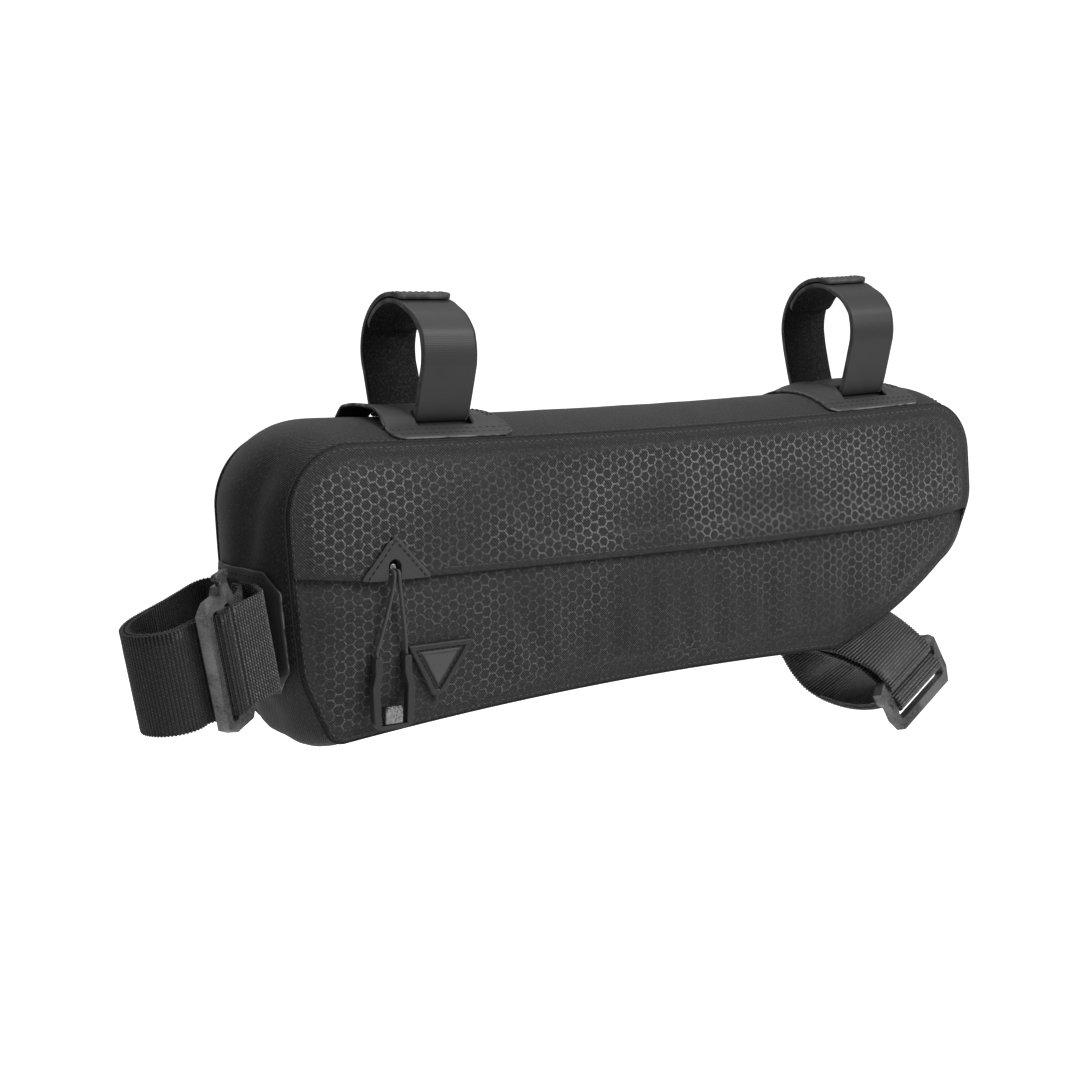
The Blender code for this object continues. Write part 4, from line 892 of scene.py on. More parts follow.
@dataclass(frozen=True)
class CastMetal(Finish):
    """Powder-coated metal with fine grain and lighter worn edges."""

    name: str = "buckle_metal"
    tone: float = 0.15
    metallic: float = 0.75
    roughness: float = 0.42
    relief: float = 0.00016
    grain_scale: float = 1300.0

    def wire(self, w: Wiring, shader: bpy.types.Node, groups: Groups) -> None:
        """Grain and edge wear."""
        place = w.object_place()
        speck = w.group(groups.speckle, place=place, grain_scale=self.grain_scale, blotch_scale=70.0)
        edge = w.between(w.add("ShaderNodeNewGeometry").outputs["Pointiness"], 0.52, 0.60)
        worn = w.math("MULTIPLY", edge, w.between(speck.outputs["Blotch"], 0.35, 0.6))
        tone = w.math("MULTIPLY_ADD", w.between(speck.outputs["Grain"], 0.35, 0.65), 0.8, 0.55)
        colour = w.blend(1.0, grey(self.tone), WovenCloth.as_colour(w, tone), "MULTIPLY")
        colour = w.blend(w.math("MULTIPLY", worn, 0.6), colour, grey(0.42))
        self.surface(
            w, shader, colour, w.math("MULTIPLY_ADD", speck.outputs["Grain"], 0.2, self.roughness - 0.1),
            w.bump(speck.outputs["Grain"], 0.35, self.relief),
        )
        shader.inputs["Metallic"].default_value = self.metallic


@dataclass(frozen=True)
class SewingThread(Finish):
    """Twisted sewing thread."""

    name: str = "thread_light"
    tone: float = 0.09

    def wire(self, w: Wiring, shader: bpy.types.Node, groups: Groups) -> None:
        """Strands of slightly different grey."""
        speck = w.group(groups.speckle, place=w.object_place(), grain_scale=2600.0)
        colour = w.blend(speck.outputs["Grain"], grey(self.tone * 0.55), grey(self.tone * 1.4))
        self.surface(w, shader, colour, 0.6, w.bump(speck.outputs["Grain"], 0.4, 0.00008))


class Finishes:
    """All materials of the bag, built once."""

    def __init__(self) -> None:
        """Builds each material from its finish."""
        groups = Groups()
        self.cloth = WovenCloth().build(groups)
        self.upper = WovenCloth(
            name="honeycomb_cloth", ground=0.012, yarn=0.175, line=0.36, line_width=0.12, patchiness=0.75,
        ).build(groups)
        self.lower = WovenCloth(
            name="honeycomb_cloth_lower", ground=0.011, yarn=0.165, line=0.24, line_width=0.09,
            patchiness=0.75, pitch=0.00095,
        ).build(groups)
        self.patch = SmoothPatch().build(groups)
        self.edge = CutEdge().build(groups)
        self.dark_edge = CutEdge(name="cut_edge_soft", tone=0.13).build(groups)
        self.rubber = SmoothPatch(
            name="badge_rubber", tone=0.024, roughness=0.42, grain_scale=2200.0,
        ).build(groups)
        self.field = SmoothPatch(
            name="badge_field", tone=0.085, roughness=0.55, grain_scale=2600.0,
        ).build(groups)
        self.pull = SmoothPatch(
            name="moulded_pull", tone=0.032, roughness=0.40, grain_scale=2600.0,
        ).build(groups)
        self.webbing = Webbing().build(groups)
        # Lit and shaded copies of one rib colour: the darker webbing_ribs stands for the seat strap in
        # shade, and the much lighter copy below is painted highlight on the seat tab and the whole down
        # strap.
        self.ribs = Webbing(name="webbing_ribs", ground=0.010, rib=0.085, roughness=0.40).build(groups)
        self.painted_highlight_ribs = Webbing(
            name="webbing_ribs_bright", ground=0.035, rib=0.34, roughness=0.36,
        ).build(groups)
        self.loop = LoopFace().build(groups)
        self.pile = Pile().build(groups)
        self.buckle = CastMetal().build(groups)
        self.crimp = CastMetal(name="crimp_metal", tone=0.30, metallic=0.9, roughness=0.26).build(groups)
        self.slider = CastMetal(name="slider_metal", tone=0.34, metallic=0.95, roughness=0.25).build(groups)
        self.cord = SewingThread(name="pull_cord", tone=0.075).build(groups)
        self.tape = WovenCloth(name="zip_tape", ground=0.008, yarn=0.02).build(groups)
        self.thread = {
            Thread.LIGHT: SewingThread(tone=0.105).build(groups),
            Thread.DARK: SewingThread(name="thread_dark", tone=0.012).build(groups),
        }


def dress(piece: bpy.types.Object, look: bpy.types.Material, slot: str, *nodes: str) -> bpy.types.Object:
    """Gives a piece its first material and body, and hides the CAD nodes that it stands for."""
    if not piece.data.materials:
        piece.data.materials.append(look)
    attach(piece, "root")
    if nodes:
        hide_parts(*nodes)
    LOG.info("%s: %d faces", piece.name, len(getattr(piece.data, "polygons", ())))
    return piece


class NodeTree:
    """A Geometry Nodes tree with named inputs that turns a path into real geometry."""

    def __init__(self, name: str, inputs: Sequence[tuple[str, str, object]]) -> None:
        """Makes the tree with its sockets."""
        self.tree = bpy.data.node_groups.new(name, "GeometryNodeTree")
        self.tree.interface.new_socket("Geometry", in_out="INPUT", socket_type="NodeSocketGeometry")
        self.identifiers: dict[str, str] = {}
        for label, kind, default in inputs:
            socket = self.tree.interface.new_socket(label, in_out="INPUT", socket_type=kind)
            if default is not None:
                socket.default_value = default
            self.identifiers[label] = socket.identifier
        self.tree.interface.new_socket("Geometry", in_out="OUTPUT", socket_type="NodeSocketGeometry")
        self.given = self.tree.nodes.new("NodeGroupInput")
        self.out = self.tree.nodes.new("NodeGroupOutput")

    def add(self, kind: str, **settings: object) -> bpy.types.Node:
        """New node with its properties set."""
        node = self.tree.nodes.new(kind)
        for key, value in settings.items():
            setattr(node, key, value)
        return node

    def link(self, socket: Socket, target: Socket) -> None:
        """Links two sockets."""
        self.tree.links.new(socket, target)

    def finish(self, geometry: Socket) -> None:
        """Ends the tree in realized geometry with its material."""
        real = self.add("GeometryNodeRealizeInstances")
        coat = self.add("GeometryNodeSetMaterial")
        self.link(geometry, real.inputs["Geometry"])
        self.link(real.outputs["Geometry"], coat.inputs["Geometry"])
        self.link(self.given.outputs["Material"], coat.inputs["Material"])
        self.link(coat.outputs["Geometry"], self.out.inputs["Geometry"])

    def run(self, piece: bpy.types.Object, **values: object) -> bpy.types.Object:
        """Runs the tree on an object and keeps the result as its plain mesh."""
        modifier = piece.modifiers.new("nodes", "NODES")
        modifier.node_group = self.tree
        for label, value in values.items():
            modifier[self.identifiers[label.replace("_", " ").capitalize()]] = value
        bpy.context.view_layer.update()
        seen = piece.evaluated_get(bpy.context.evaluated_depsgraph_get())
        mesh = bpy.data.meshes.new_from_object(seen)
        made = bpy.data.objects.new(piece.name + "_real", mesh)
        bpy.context.scene.collection.objects.link(made)
        name = piece.name
        bpy.data.objects.remove(piece)
        made.name = name
        return made


def stitch_tree() -> NodeTree:
    """Stitches along the curves that it is given: a fat grain laid in each pitch."""
    nodes = NodeTree("stitches", [
        ("Pitch", "NodeSocketFloat", 3.2 * MM),
        ("Long", "NodeSocketFloat", 2.3 * MM),
        ("Thick", "NodeSocketFloat", 0.5 * MM),
        ("Seed", "NodeSocketInt", 3),
        ("Material", "NodeSocketMaterial", None),
    ])
    curve = nodes.add("GeometryNodeResampleCurve", mode="LENGTH")
    nodes.link(nodes.given.outputs["Geometry"], curve.inputs["Curve"])
    nodes.link(nodes.given.outputs["Pitch"], curve.inputs["Length"])
    points = nodes.add("GeometryNodeCurveToPoints", mode="EVALUATED")
    nodes.link(curve.outputs["Curve"], points.inputs["Curve"])
    grain = nodes.add("GeometryNodeMeshUVSphere")
    grain.inputs["Segments"].default_value = 6
    grain.inputs["Rings"].default_value = 5
    grain.inputs["Radius"].default_value = 0.5
    smooth = nodes.add("GeometryNodeSetShadeSmooth")
    nodes.link(grain.outputs["Mesh"], smooth.inputs["Geometry"])
    align = nodes.add("FunctionNodeAlignRotationToVector", axis="X")
    nodes.link(points.outputs["Tangent"], align.inputs["Vector"])
    tilt = nodes.add("FunctionNodeRandomValue", data_type="FLOAT")
    tilt.inputs[2].default_value = 0.85
    tilt.inputs[3].default_value = 1.12
    nodes.link(nodes.given.outputs["Seed"], tilt.inputs["Seed"])
    long = nodes.add("ShaderNodeMath", operation="MULTIPLY")
    nodes.link(nodes.given.outputs["Long"], long.inputs[0])
    nodes.link(tilt.outputs[1], long.inputs[1])
    size = nodes.add("ShaderNodeCombineXYZ")
    nodes.link(long.outputs[0], size.inputs[0])
    nodes.link(nodes.given.outputs["Thick"], size.inputs[1])
    nodes.link(nodes.given.outputs["Thick"], size.inputs[2])
    place = nodes.add("GeometryNodeInstanceOnPoints")
    nodes.link(points.outputs["Points"], place.inputs["Points"])
    nodes.link(smooth.outputs["Geometry"], place.inputs["Instance"])
    nodes.link(align.outputs["Rotation"], place.inputs["Rotation"])
    nodes.link(size.outputs[0], place.inputs["Scale"])
    nodes.finish(place.outputs["Instances"])
    return nodes


def rod_tree() -> NodeTree:
    """Rods of a webbing's ribs: each edge line of the given mesh becomes a thin round rod."""
    nodes = NodeTree("webbing_ribs", [
        ("Radius", "NodeSocketFloat", 0.5 * MM),
        ("Sides", "NodeSocketInt", 6),
        ("Material", "NodeSocketMaterial", None),
    ])
    curve = nodes.add("GeometryNodeMeshToCurve")
    nodes.link(nodes.given.outputs["Geometry"], curve.inputs["Mesh"])
    ring = nodes.add("GeometryNodeCurvePrimitiveCircle")
    nodes.link(nodes.given.outputs["Sides"], ring.inputs["Resolution"])
    nodes.link(nodes.given.outputs["Radius"], ring.inputs["Radius"])
    tube = nodes.add("GeometryNodeCurveToMesh")
    tube.inputs["Fill Caps"].default_value = True
    nodes.link(curve.outputs["Curve"], tube.inputs["Curve"])
    nodes.link(ring.outputs["Curve"], tube.inputs["Profile Curve"])
    smooth = nodes.add("GeometryNodeSetShadeSmooth")
    nodes.link(tube.outputs["Mesh"], smooth.inputs["Geometry"])
    nodes.finish(smooth.outputs["Geometry"])
    return nodes


class Sewing:
    """Gathers rows of stitches and makes one mesh of each thread and piece."""

    def __init__(self, finishes: Finishes) -> None:
        """Builds the stitch tree once."""
        self.finishes = finishes
        self.tree = stitch_tree()

    def sew(
        self, name: str, rows: Sequence[Array], thread: Thread = Thread.LIGHT, pitch: float = 3.2 * MM,
        long: float = 2.3 * MM, thick: float = 0.5 * MM, slot: str = "coated_cloth",
    ) -> bpy.types.Object:
        """Makes the stitches of one piece.

        Args:
            name: Name of the stitches' object.
            rows: Each row's points in metres, along the seam.
            thread: Which thread they are sewn with.
            pitch: Distance from one stitch to the next.
            long: Length of a stitch.
            thick: Thickness of a stitch.
            slot: Not used; it is passed on to dress, which ignores it.

        Returns:
            The stitches as one mesh.
        """
        curve = bpy.data.curves.new(name, "CURVE")
        curve.dimensions = "3D"
        for row in rows:
            spline = curve.splines.new("POLY")
            spline.points.add(len(row) - 1)
            for point, place in zip(spline.points, row):
                point.co = (*place, 1)
        guide = bpy.data.objects.new(name, curve)
        bpy.context.scene.collection.objects.link(guide)
        look = self.finishes.thread[thread]
        made = self.tree.run(guide, pitch=pitch, long=long, thick=thick, material=look)
        return dress(made, look, slot)


@dataclass
class Gusset:
    """The band round the bag with its laps over both sides."""

    finishes: Finishes
    sewing: Sewing
    ripple: float = 0.45 * MM
    runs: int = 420

    def profile(self) -> list[tuple[float, float]]:
        """Inset from the outline and place across, from the near lap's edge over the top to the far one."""
        flat = SHAPE.half - SHAPE.corner_radius
        seam = math.asin(1 - SHAPE.seam_inset / SHAPE.corner_radius)
        edge = flat + SHAPE.corner_radius * math.cos(seam)
        lap = [(SHAPE.seam_inset * 1.2, edge - 1.4 * MM), (SHAPE.seam_inset * 1.1, edge - 0.5 * MM)]
        turn = np.linspace(seam, math.pi / 2, 7)
        radius = SHAPE.corner_radius
        arc = [(radius * (1 - math.sin(a)), flat + radius * math.cos(a)) for a in turn]
        crowned = [(0.0, flat * share) for share in np.linspace(0.95, 0.0, 15)]
        half = lap + arc + crowned
        return [(inset, -across) for inset, across in half] + list(reversed(half[:-1]))

    def ripples(self, runs: Array, across: Array) -> Array:
        """Small waves of the cloth, stronger near the seams and ends."""
        edge = (np.abs(across) / SHAPE.half) ** 2
        waves = [
            noise.noise(Vector((r * 55, a * 45, 2.7))) * 0.7
            + noise.noise(Vector((r * 150, a * 110, 9.1))) * 0.3
            for r, a in zip(runs, across)
        ]
        return self.ripple * np.array(waves) * (0.5 + edge)

    def build(self) -> None:
        """Builds the band, its stitch rows and the upright seam at the rear."""
        length = SHAPE.outline.length
        runs = np.arange(self.runs) / self.runs * length
        profile = self.profile()
        widths = [0.0]
        for (a, b), (c, d) in zip(profile, profile[1:]):
            widths.append(widths[-1] + math.hypot(c - a, d - b))
        rows = []
        for inset, across in profile:
            free = float(smoothstep((SHAPE.half - 1.5 * MM - abs(across)) / (5 * MM)))
            waves = self.ripples(runs, np.full(self.runs, across)) * free
            surface = SHAPE.band(runs, across, waves)
            _, normal = SHAPE.outline.at(runs)
            surface[:, 0] -= normal[:, 0] * inset
            surface[:, 2] -= normal[:, 1] * inset
            rows.append(surface)
        grid = np.stack(rows, axis=1)
        around = np.append(runs, length)
        uv = np.stack(np.broadcast_arrays(around[:, None], np.array(widths)[None, :]), axis=2)
        piece = grid_object("gusset_band_cloth", grid, uv, wrap=True)
        centre = SHAPE.outline.points.mean(axis=0)
        face_outwards(piece, lambda p: (p.x - centre[0], p.y * 3, p.z - centre[1]))
        give_wall(piece, SHAPE.cloth)
        dress(piece, self.finishes.cloth, "coated_cloth", "gusset_band")
        self.sew_laps()

    def sew_laps(self) -> None:
        """Two rows along each lap, on its face and on its rounded edge."""
        runs = np.linspace(0, SHAPE.outline.length, 900)
        point, normal = SHAPE.outline.at(runs)
        rows = []
        for side in Side:
            xz = point - normal * (SHAPE.seam_inset + 0.9 * MM)
            y = side.value * (SHAPE.half - SHAPE.seam_dip(xz) + 0.04 * MM)
            rows.append(np.column_stack((xz[:, 0], y, xz[:, 1])))
            rows.append(
                SHAPE.band(runs, side.value * (SHAPE.half - SHAPE.corner_radius - 0.6 * MM), 0.12 * MM)
            )
        self.sewing.sew("gusset_stitches", rows, Thread.LIGHT, 2.9 * MM, 1.9 * MM, 0.34 * MM)
        across = np.linspace(-0.92, 0.92, 60) * (SHAPE.half - SHAPE.corner_radius)
        joins = []
        for share in (0.965, 0.42):
            run = np.full(len(across), share * SHAPE.outline.length)
            joins.append(SHAPE.band(run, across, 0.15 * MM))
        self.sewing.sew("gusset_join_stitches", joins, Thread.LIGHT, 3.0 * MM, 2.0 * MM, 0.4 * MM)


@dataclass
class SidePanels:
    """Upper panel with its flap, lower panel tucked under it, and the plain far panel."""

    finishes: Finishes
    sewing: Sewing
    across: int = 150
    settle_depth: float = 1.6 * MM
    frames: int = 18

    def boundaries(self) -> dict[str, float]:
        """Distances along the outline of the panels' corners."""
        find = SHAPE.outline.run_at
        return {
            "rear_mid": find(0, SHAPE.rear_x + SHAPE.length * 0.03, 0.0, 0.2),
            "nose_mid": find(0, SHAPE.rear_x + SHAPE.length * 0.965, 0.3, 0.45),
            "low_rear": find(0, SHAPE.rear_x + SHAPE.length * 0.05, 0.8, 0.95),
            "low_nose": find(0, SHAPE.rear_x + SHAPE.length * 0.80, 0.42, 0.6),
            "rear": SHAPE.edge_run(0.0, 0.85, 0.999),
            "nose": SHAPE.edge_run(0.0, 0.36, 0.55),
        }

    def crossing(self, rise: float, shares: Array) -> Array:
        """Line along the flap's edge, lifted by a height, from edge to edge of the panel."""
        rear = SHAPE.edge_run(rise, 0.85, 0.999)
        nose = SHAPE.edge_run(rise, 0.36, 0.55)
        first, last = SHAPE.inset_line(rear, nose, (0, 1))
        x = first[0] + (last[0] - first[0]) * shares
        z = SHAPE.flap_z(x) + rise
        z[0], z[-1] = first[1], last[1]
        return np.column_stack((x, z))

    @staticmethod
    def coons(bottom: Array, top: Array, left: Array, right: Array, heights: Array) -> Array:
        """Grid of points between four boundary lines that share their corners."""
        u = np.linspace(0, 1, len(bottom))[:, None, None]
        v = np.asarray(heights)[None, :, None]
        across = (1 - v) * bottom[:, None, :] + v * top[:, None, :]
        upward = (1 - u) * left[None, :, :] + u * right[None, :, :]
        corner = (
            (1 - u) * (1 - v) * bottom[0] + u * (1 - v) * bottom[-1]
            + (1 - u) * v * top[0] + u * v * top[-1]
        )
        return across + upward - corner

    def waves(self, xz: Array, seed: float) -> Array:
        """Soft unevenness of the cloth, none at the sewn edges and less near the patches."""
        free = smoothstep((SHAPE.outline.depth_inside(xz) - SHAPE.panel_inset) / (16 * MM))
        free *= smoothstep((xz[:, 0] - SHAPE.rear_x - SHAPE.length * 0.2) / (40 * MM)) * 0.9 + 0.1
        wave = [
            noise.noise(Vector((x * 17, z * 30, seed))) * 0.75
            + noise.noise(Vector((x * 45, z * 60, seed + 5))) * 0.25
            for x, z in xz
        ]
        return np.array(wave) * free * self.settle_depth * 0.7

    def sheet(
        self, name: str, grid_xz: Array, depth: Callable[[Array], Array], side: Side, seed: float,
    ) -> bpy.types.Object:
        """Panel mesh lifted to its outer face, its UV the side view's own places."""
        flat = grid_xz.reshape(-1, 2)
        y = side.value * (depth(flat) - SHAPE.seam_dip(flat) + self.waves(flat, seed))
        grid = np.column_stack((flat[:, 0], y, flat[:, 1])).reshape(*grid_xz.shape[:2], 3)
        above = flat[:, 1] - SHAPE.flap_z(flat[:, 0])
        inside = SHAPE.outline.depth_inside(flat)
        upper = smoothstep((inside - 4.5 * MM) / (6 * MM)) * smoothstep((above - 1.5 * MM) / (3 * MM))
        lower = smoothstep((inside - 2.5 * MM) / (4 * MM))
        piece = grid_object(name, grid, grid_xz, printed=np.where(above > -1e-6, upper, lower))
        face_outwards(piece, lambda p: (0, side.value, 0))
        return piece

    def settle(self, piece: bpy.types.Object, still: Callable[[Array], Array]) -> None:
        """Lets the cloth pull and sag a little by simulation, its edges sewn in place.

        Args:
            piece: The open sheet.
            still: How firmly each vertex is held, 1 for sewn.
        """
        places = np.array([v.co[:] for v in piece.data.vertices])
        pins = piece.vertex_groups.new(name="sewn")
        for index, weight in enumerate(still(places[:, (0, 2)])):
            pins.add([index], float(weight), "REPLACE")
        cloth = piece.modifiers.new("cloth", "CLOTH")
        settings = cloth.settings
        settings.vertex_group_mass = "sewn"
        settings.quality = 6
        settings.mass = 0.25
        settings.tension_stiffness = settings.compression_stiffness = 12
        settings.shear_stiffness = 8
        settings.bending_stiffness = 2.5
        settings.use_pressure = True
        settings.uniform_pressure_force = 0.6
        settings.shrink_min = -0.012
        settings.effector_weights.gravity = 0.4
        scene = bpy.context.scene
        scene.frame_start, scene.frame_end = 1, self.frames
        cloth.point_cache.frame_start, cloth.point_cache.frame_end = 1, self.frames
        for number in range(1, self.frames + 1):
            scene.frame_set(number)
        seen = piece.evaluated_get(bpy.context.evaluated_depsgraph_get())
        moved = np.array([v.co[:] for v in seen.data.vertices])
        piece.modifiers.remove(cloth)
        scene.frame_set(1)
        shift = moved - places
        size = np.linalg.norm(shift, axis=1)[:, None]
        shift *= np.minimum(1.0, self.settle_depth / np.maximum(size, 1e-9))
        held = still(places[:, (0, 2)])[:, None]
        places += shift * (1 - held)
        piece.data.vertices.foreach_set("co", places.astype(np.float32).ravel())
        piece.data.update()
        LOG.info("%s settled by at most %.2f mm", piece.name, float(size.max()) * 1000)

    def build(self) -> None:
        """Builds the three panels and their stitching."""
        length = SHAPE.outline.length
        at = self.boundaries()
        along = np.linspace(0, 1, self.across)
        tall = np.linspace(0, 1, 44)
        top = SHAPE.inset_line(at["rear_mid"], at["nose_mid"], along)
        left = SHAPE.inset_line(at["rear"], at["rear_mid"] + length, tall)
        right = SHAPE.inset_line(at["nose"], at["nose_mid"], tall)
        upper_xz = self.coons(self.crossing(0.0, along), top, left, right, tall)
        upper = self.sheet("side_panel_upper_cloth", upper_xz, self.flap_depth, Side.NEAR, 1.3)
        self.settle(upper, self.upper_hold)
        give_wall(upper, SHAPE.cloth, edge=0.35 * MM)
        bake_modifiers(upper)
        self.cut_notch(upper)
        dress(upper, self.finishes.upper, "honeycomb_cloth", "side_panel_upper")

        bottom = SHAPE.inset_line(at["low_rear"], at["low_nose"], along)
        left = SHAPE.inset_line(at["low_rear"], at["rear"], tall)
        right = SHAPE.inset_line(at["low_nose"], at["nose"], tall)
        seen = self.coons(bottom, self.crossing(0.0, along), left, right, tall)
        tucked = np.stack([self.crossing(SHAPE.flap_overlap * s, along) for s in (0.5, 1.0)], axis=1)
        lower_xz = np.concatenate((seen, tucked), axis=1)
        lower = self.sheet("side_panel_lower_cloth", lower_xz, SHAPE.lower_depth, Side.NEAR, 4.1)
        self.settle(lower, self.lower_hold)
        give_wall(lower, SHAPE.cloth)
        dress(lower, self.finishes.lower, "honeycomb_cloth", "side_panel_lower")

        left = SHAPE.inset_line(at["low_rear"], at["rear_mid"] + length, np.linspace(0, 1, 70))
        right = SHAPE.inset_line(at["low_nose"], at["nose_mid"], np.linspace(0, 1, 70))
        far_xz = self.coons(bottom, top, left, right, np.linspace(0, 1, 70))
        far = self.sheet("side_panel_back_cloth", far_xz, SHAPE.upper_depth, Side.FAR, 7.7)
        self.settle(far, self.far_hold)
        give_wall(far, SHAPE.cloth)
        dress(far, self.finishes.cloth, "coated_cloth", "side_panel_back")
        self.sew_flap()

    def flap_depth(self, xz: Array) -> Array:
        """Upper panel's depth with its hem standing slightly proud."""
        above = xz[:, 1] - SHAPE.flap_z(xz[:, 0])
        hem = 0.35 * MM * (1 - smoothstep(above / (5 * MM)))
        return SHAPE.upper_depth(xz) + hem

    def patch_hold(self, xz: Array) -> Array:
        """Held round the garage, the zip pull and the badge, which are made on the plain shape."""
        return 1 - smoothstep((xz[:, 0] - (SHAPE.rear_x + SHAPE.length * 0.235)) / (20 * MM))

    def edge_hold(self, xz: Array) -> Array:
        """Sewn at the seams."""
        return 1 - smoothstep((SHAPE.outline.depth_inside(xz) - SHAPE.panel_inset) / (5 * MM))

    def upper_hold(self, xz: Array) -> Array:
        """Sewn edges, the flap's hem over the zip and the patches."""
        hem = 1 - smoothstep((xz[:, 1] - SHAPE.flap_z(xz[:, 0])) / (14 * MM))
        return np.maximum.reduce((self.edge_hold(xz), self.patch_hold(xz), hem))

    def lower_hold(self, xz: Array) -> Array:
        """Sewn edges, the zip and the patches."""
        tuck = 1 - smoothstep((SHAPE.flap_z(xz[:, 0]) - xz[:, 1]) / (14 * MM))
        return np.maximum.reduce((self.edge_hold(xz), self.patch_hold(xz), tuck))

    def far_hold(self, xz: Array) -> Array:
        """Sewn edges."""
        return self.edge_hold(xz)

    @staticmethod
    def cut_notch(piece: bpy.types.Object) -> None:
        """Cuts the zip's notch through a panel or a patch."""
        cutter = flat_piece(
            "notch_cutter", [Garage.notch_loop()], 16 * MM,
            lambda p: (p[0], -SHAPE.half - SHAPE.bulge + p[2], p[1]), 0.0,
        )
        cutter.modifiers.clear()
        cut = piece.modifiers.new("notch", "BOOLEAN")
        cut.operation = "DIFFERENCE"
        cut.solver = "EXACT"
        cut.object = cutter
        bake_modifiers(piece)
        bpy.data.objects.remove(cutter)

    def sew_flap(self) -> None:
        """Row just above the flap's edge, broken where the garage patch sits."""
        x = np.linspace(SHAPE.rear_x + SHAPE.length * 0.055, SHAPE.rear_x + SHAPE.length * 0.965, 400)
        clear = np.abs(x - Garage.centre_x()) > Garage.width * 0.52
        z = SHAPE.flap_z(x) + 2.6 * MM
        xz = np.column_stack((x, z))
        y = -(self.flap_depth(xz) + self.waves(xz, 1.3)) - 0.05 * MM
        row = np.column_stack((x, y, z))
        gap = int(np.argmin(clear))
        after = len(x) - int(np.argmin(clear[::-1]))
        self.sewing.sew(
            "flap_stitches", [row[:gap], row[after:]], Thread.LIGHT, 3.1 * MM, 2.2 * MM, 0.34 * MM,
            slot="honeycomb_cloth",
        )


class TrianglePatch:
    """Grid of a rounded triangle laid on the bag's near side."""

    def __init__(
        self, base_z: Callable[[Array], Array], height: float, width: float, centre_x: float, lean: float,
        rounding: float, rows: int = 46, cols: int = 61,
    ) -> None:
        """Lays out the triangle's side-view places; a negative height points its tip down."""
        shares = np.linspace(0, 1, rows) ** 1.15
        shares = np.concatenate((shares[shares < 0.9], np.linspace(0.9, 1.0, 12)))
        half = self.half_share(shares, rounding) * width / 2
        x = centre_x + lean * shares[:, None] + half[:, None] * np.linspace(-1, 1, cols)[None, :]
        self.grid = np.stack((x, base_z(x) + height * shares[:, None]), axis=2)
        self.shares, self.half, self.centre_x, self.lean = shares, half, centre_x, lean
        self.base_z, self.height = base_z, height

    @staticmethod
    def half_share(share: Array, rounding: float) -> Array:
        """Half width of the triangle, 1 at its base and 0 at its tip, its corners rounded."""
        straight = 1 - share + 0.04
        tip = np.sqrt(np.clip(rounding**2 - (share - 1 + rounding) ** 2, 0, None))
        near_tip = np.where(share > 1 - rounding, np.minimum(tip * 0.62, straight), straight)
        base = np.sqrt(np.clip(rounding**2 - (rounding - share) ** 2, 0, None)) - rounding
        return np.clip(near_tip + np.where(share < rounding, base * 0.6, 0.0), 0.02, None)

    def rim(self) -> Array:
        """Closed outline of the triangle."""
        return np.concatenate((self.grid[0], self.grid[1:, -1], self.grid[-1, ::-1], self.grid[:0:-1, 0]))

    def edge_distance(self) -> Array:
        """Distance of each grid point from the outline."""
        rim = self.rim()
        span = np.roll(rim, -1, axis=0) - rim
        flat = self.grid.reshape(-1, 2)
        rel = flat[:, None, :] - rim[None]
        share = np.clip((rel * span).sum(-1) / np.maximum((span * span).sum(-1), 1e-14), 0, 1)
        gap = np.linalg.norm(rel - share[..., None] * span, axis=-1).min(axis=1)
        return gap.reshape(self.grid.shape[:2])

    def slants(self, inset: float) -> Array:
        """Line inside both slanted edges, up one side and down the other."""
        keep = (self.shares > 0.05) & (self.half > inset * 1.15)
        shares, half = self.shares[keep], self.half[keep] - inset * 1.12
        middle = self.centre_x + self.lean * shares
        left = np.column_stack((middle - half, shares))
        right = np.column_stack((middle + half, shares))[::-1]
        tip_share = shares[-1] + inset * 0.35 / abs(self.height)
        tip = np.array(((self.centre_x + self.lean * tip_share, tip_share),))
        line = np.concatenate((left, tip, right))
        return np.column_stack((line[:, 0], self.base_z(line[:, 0]) + self.height * line[:, 1]))


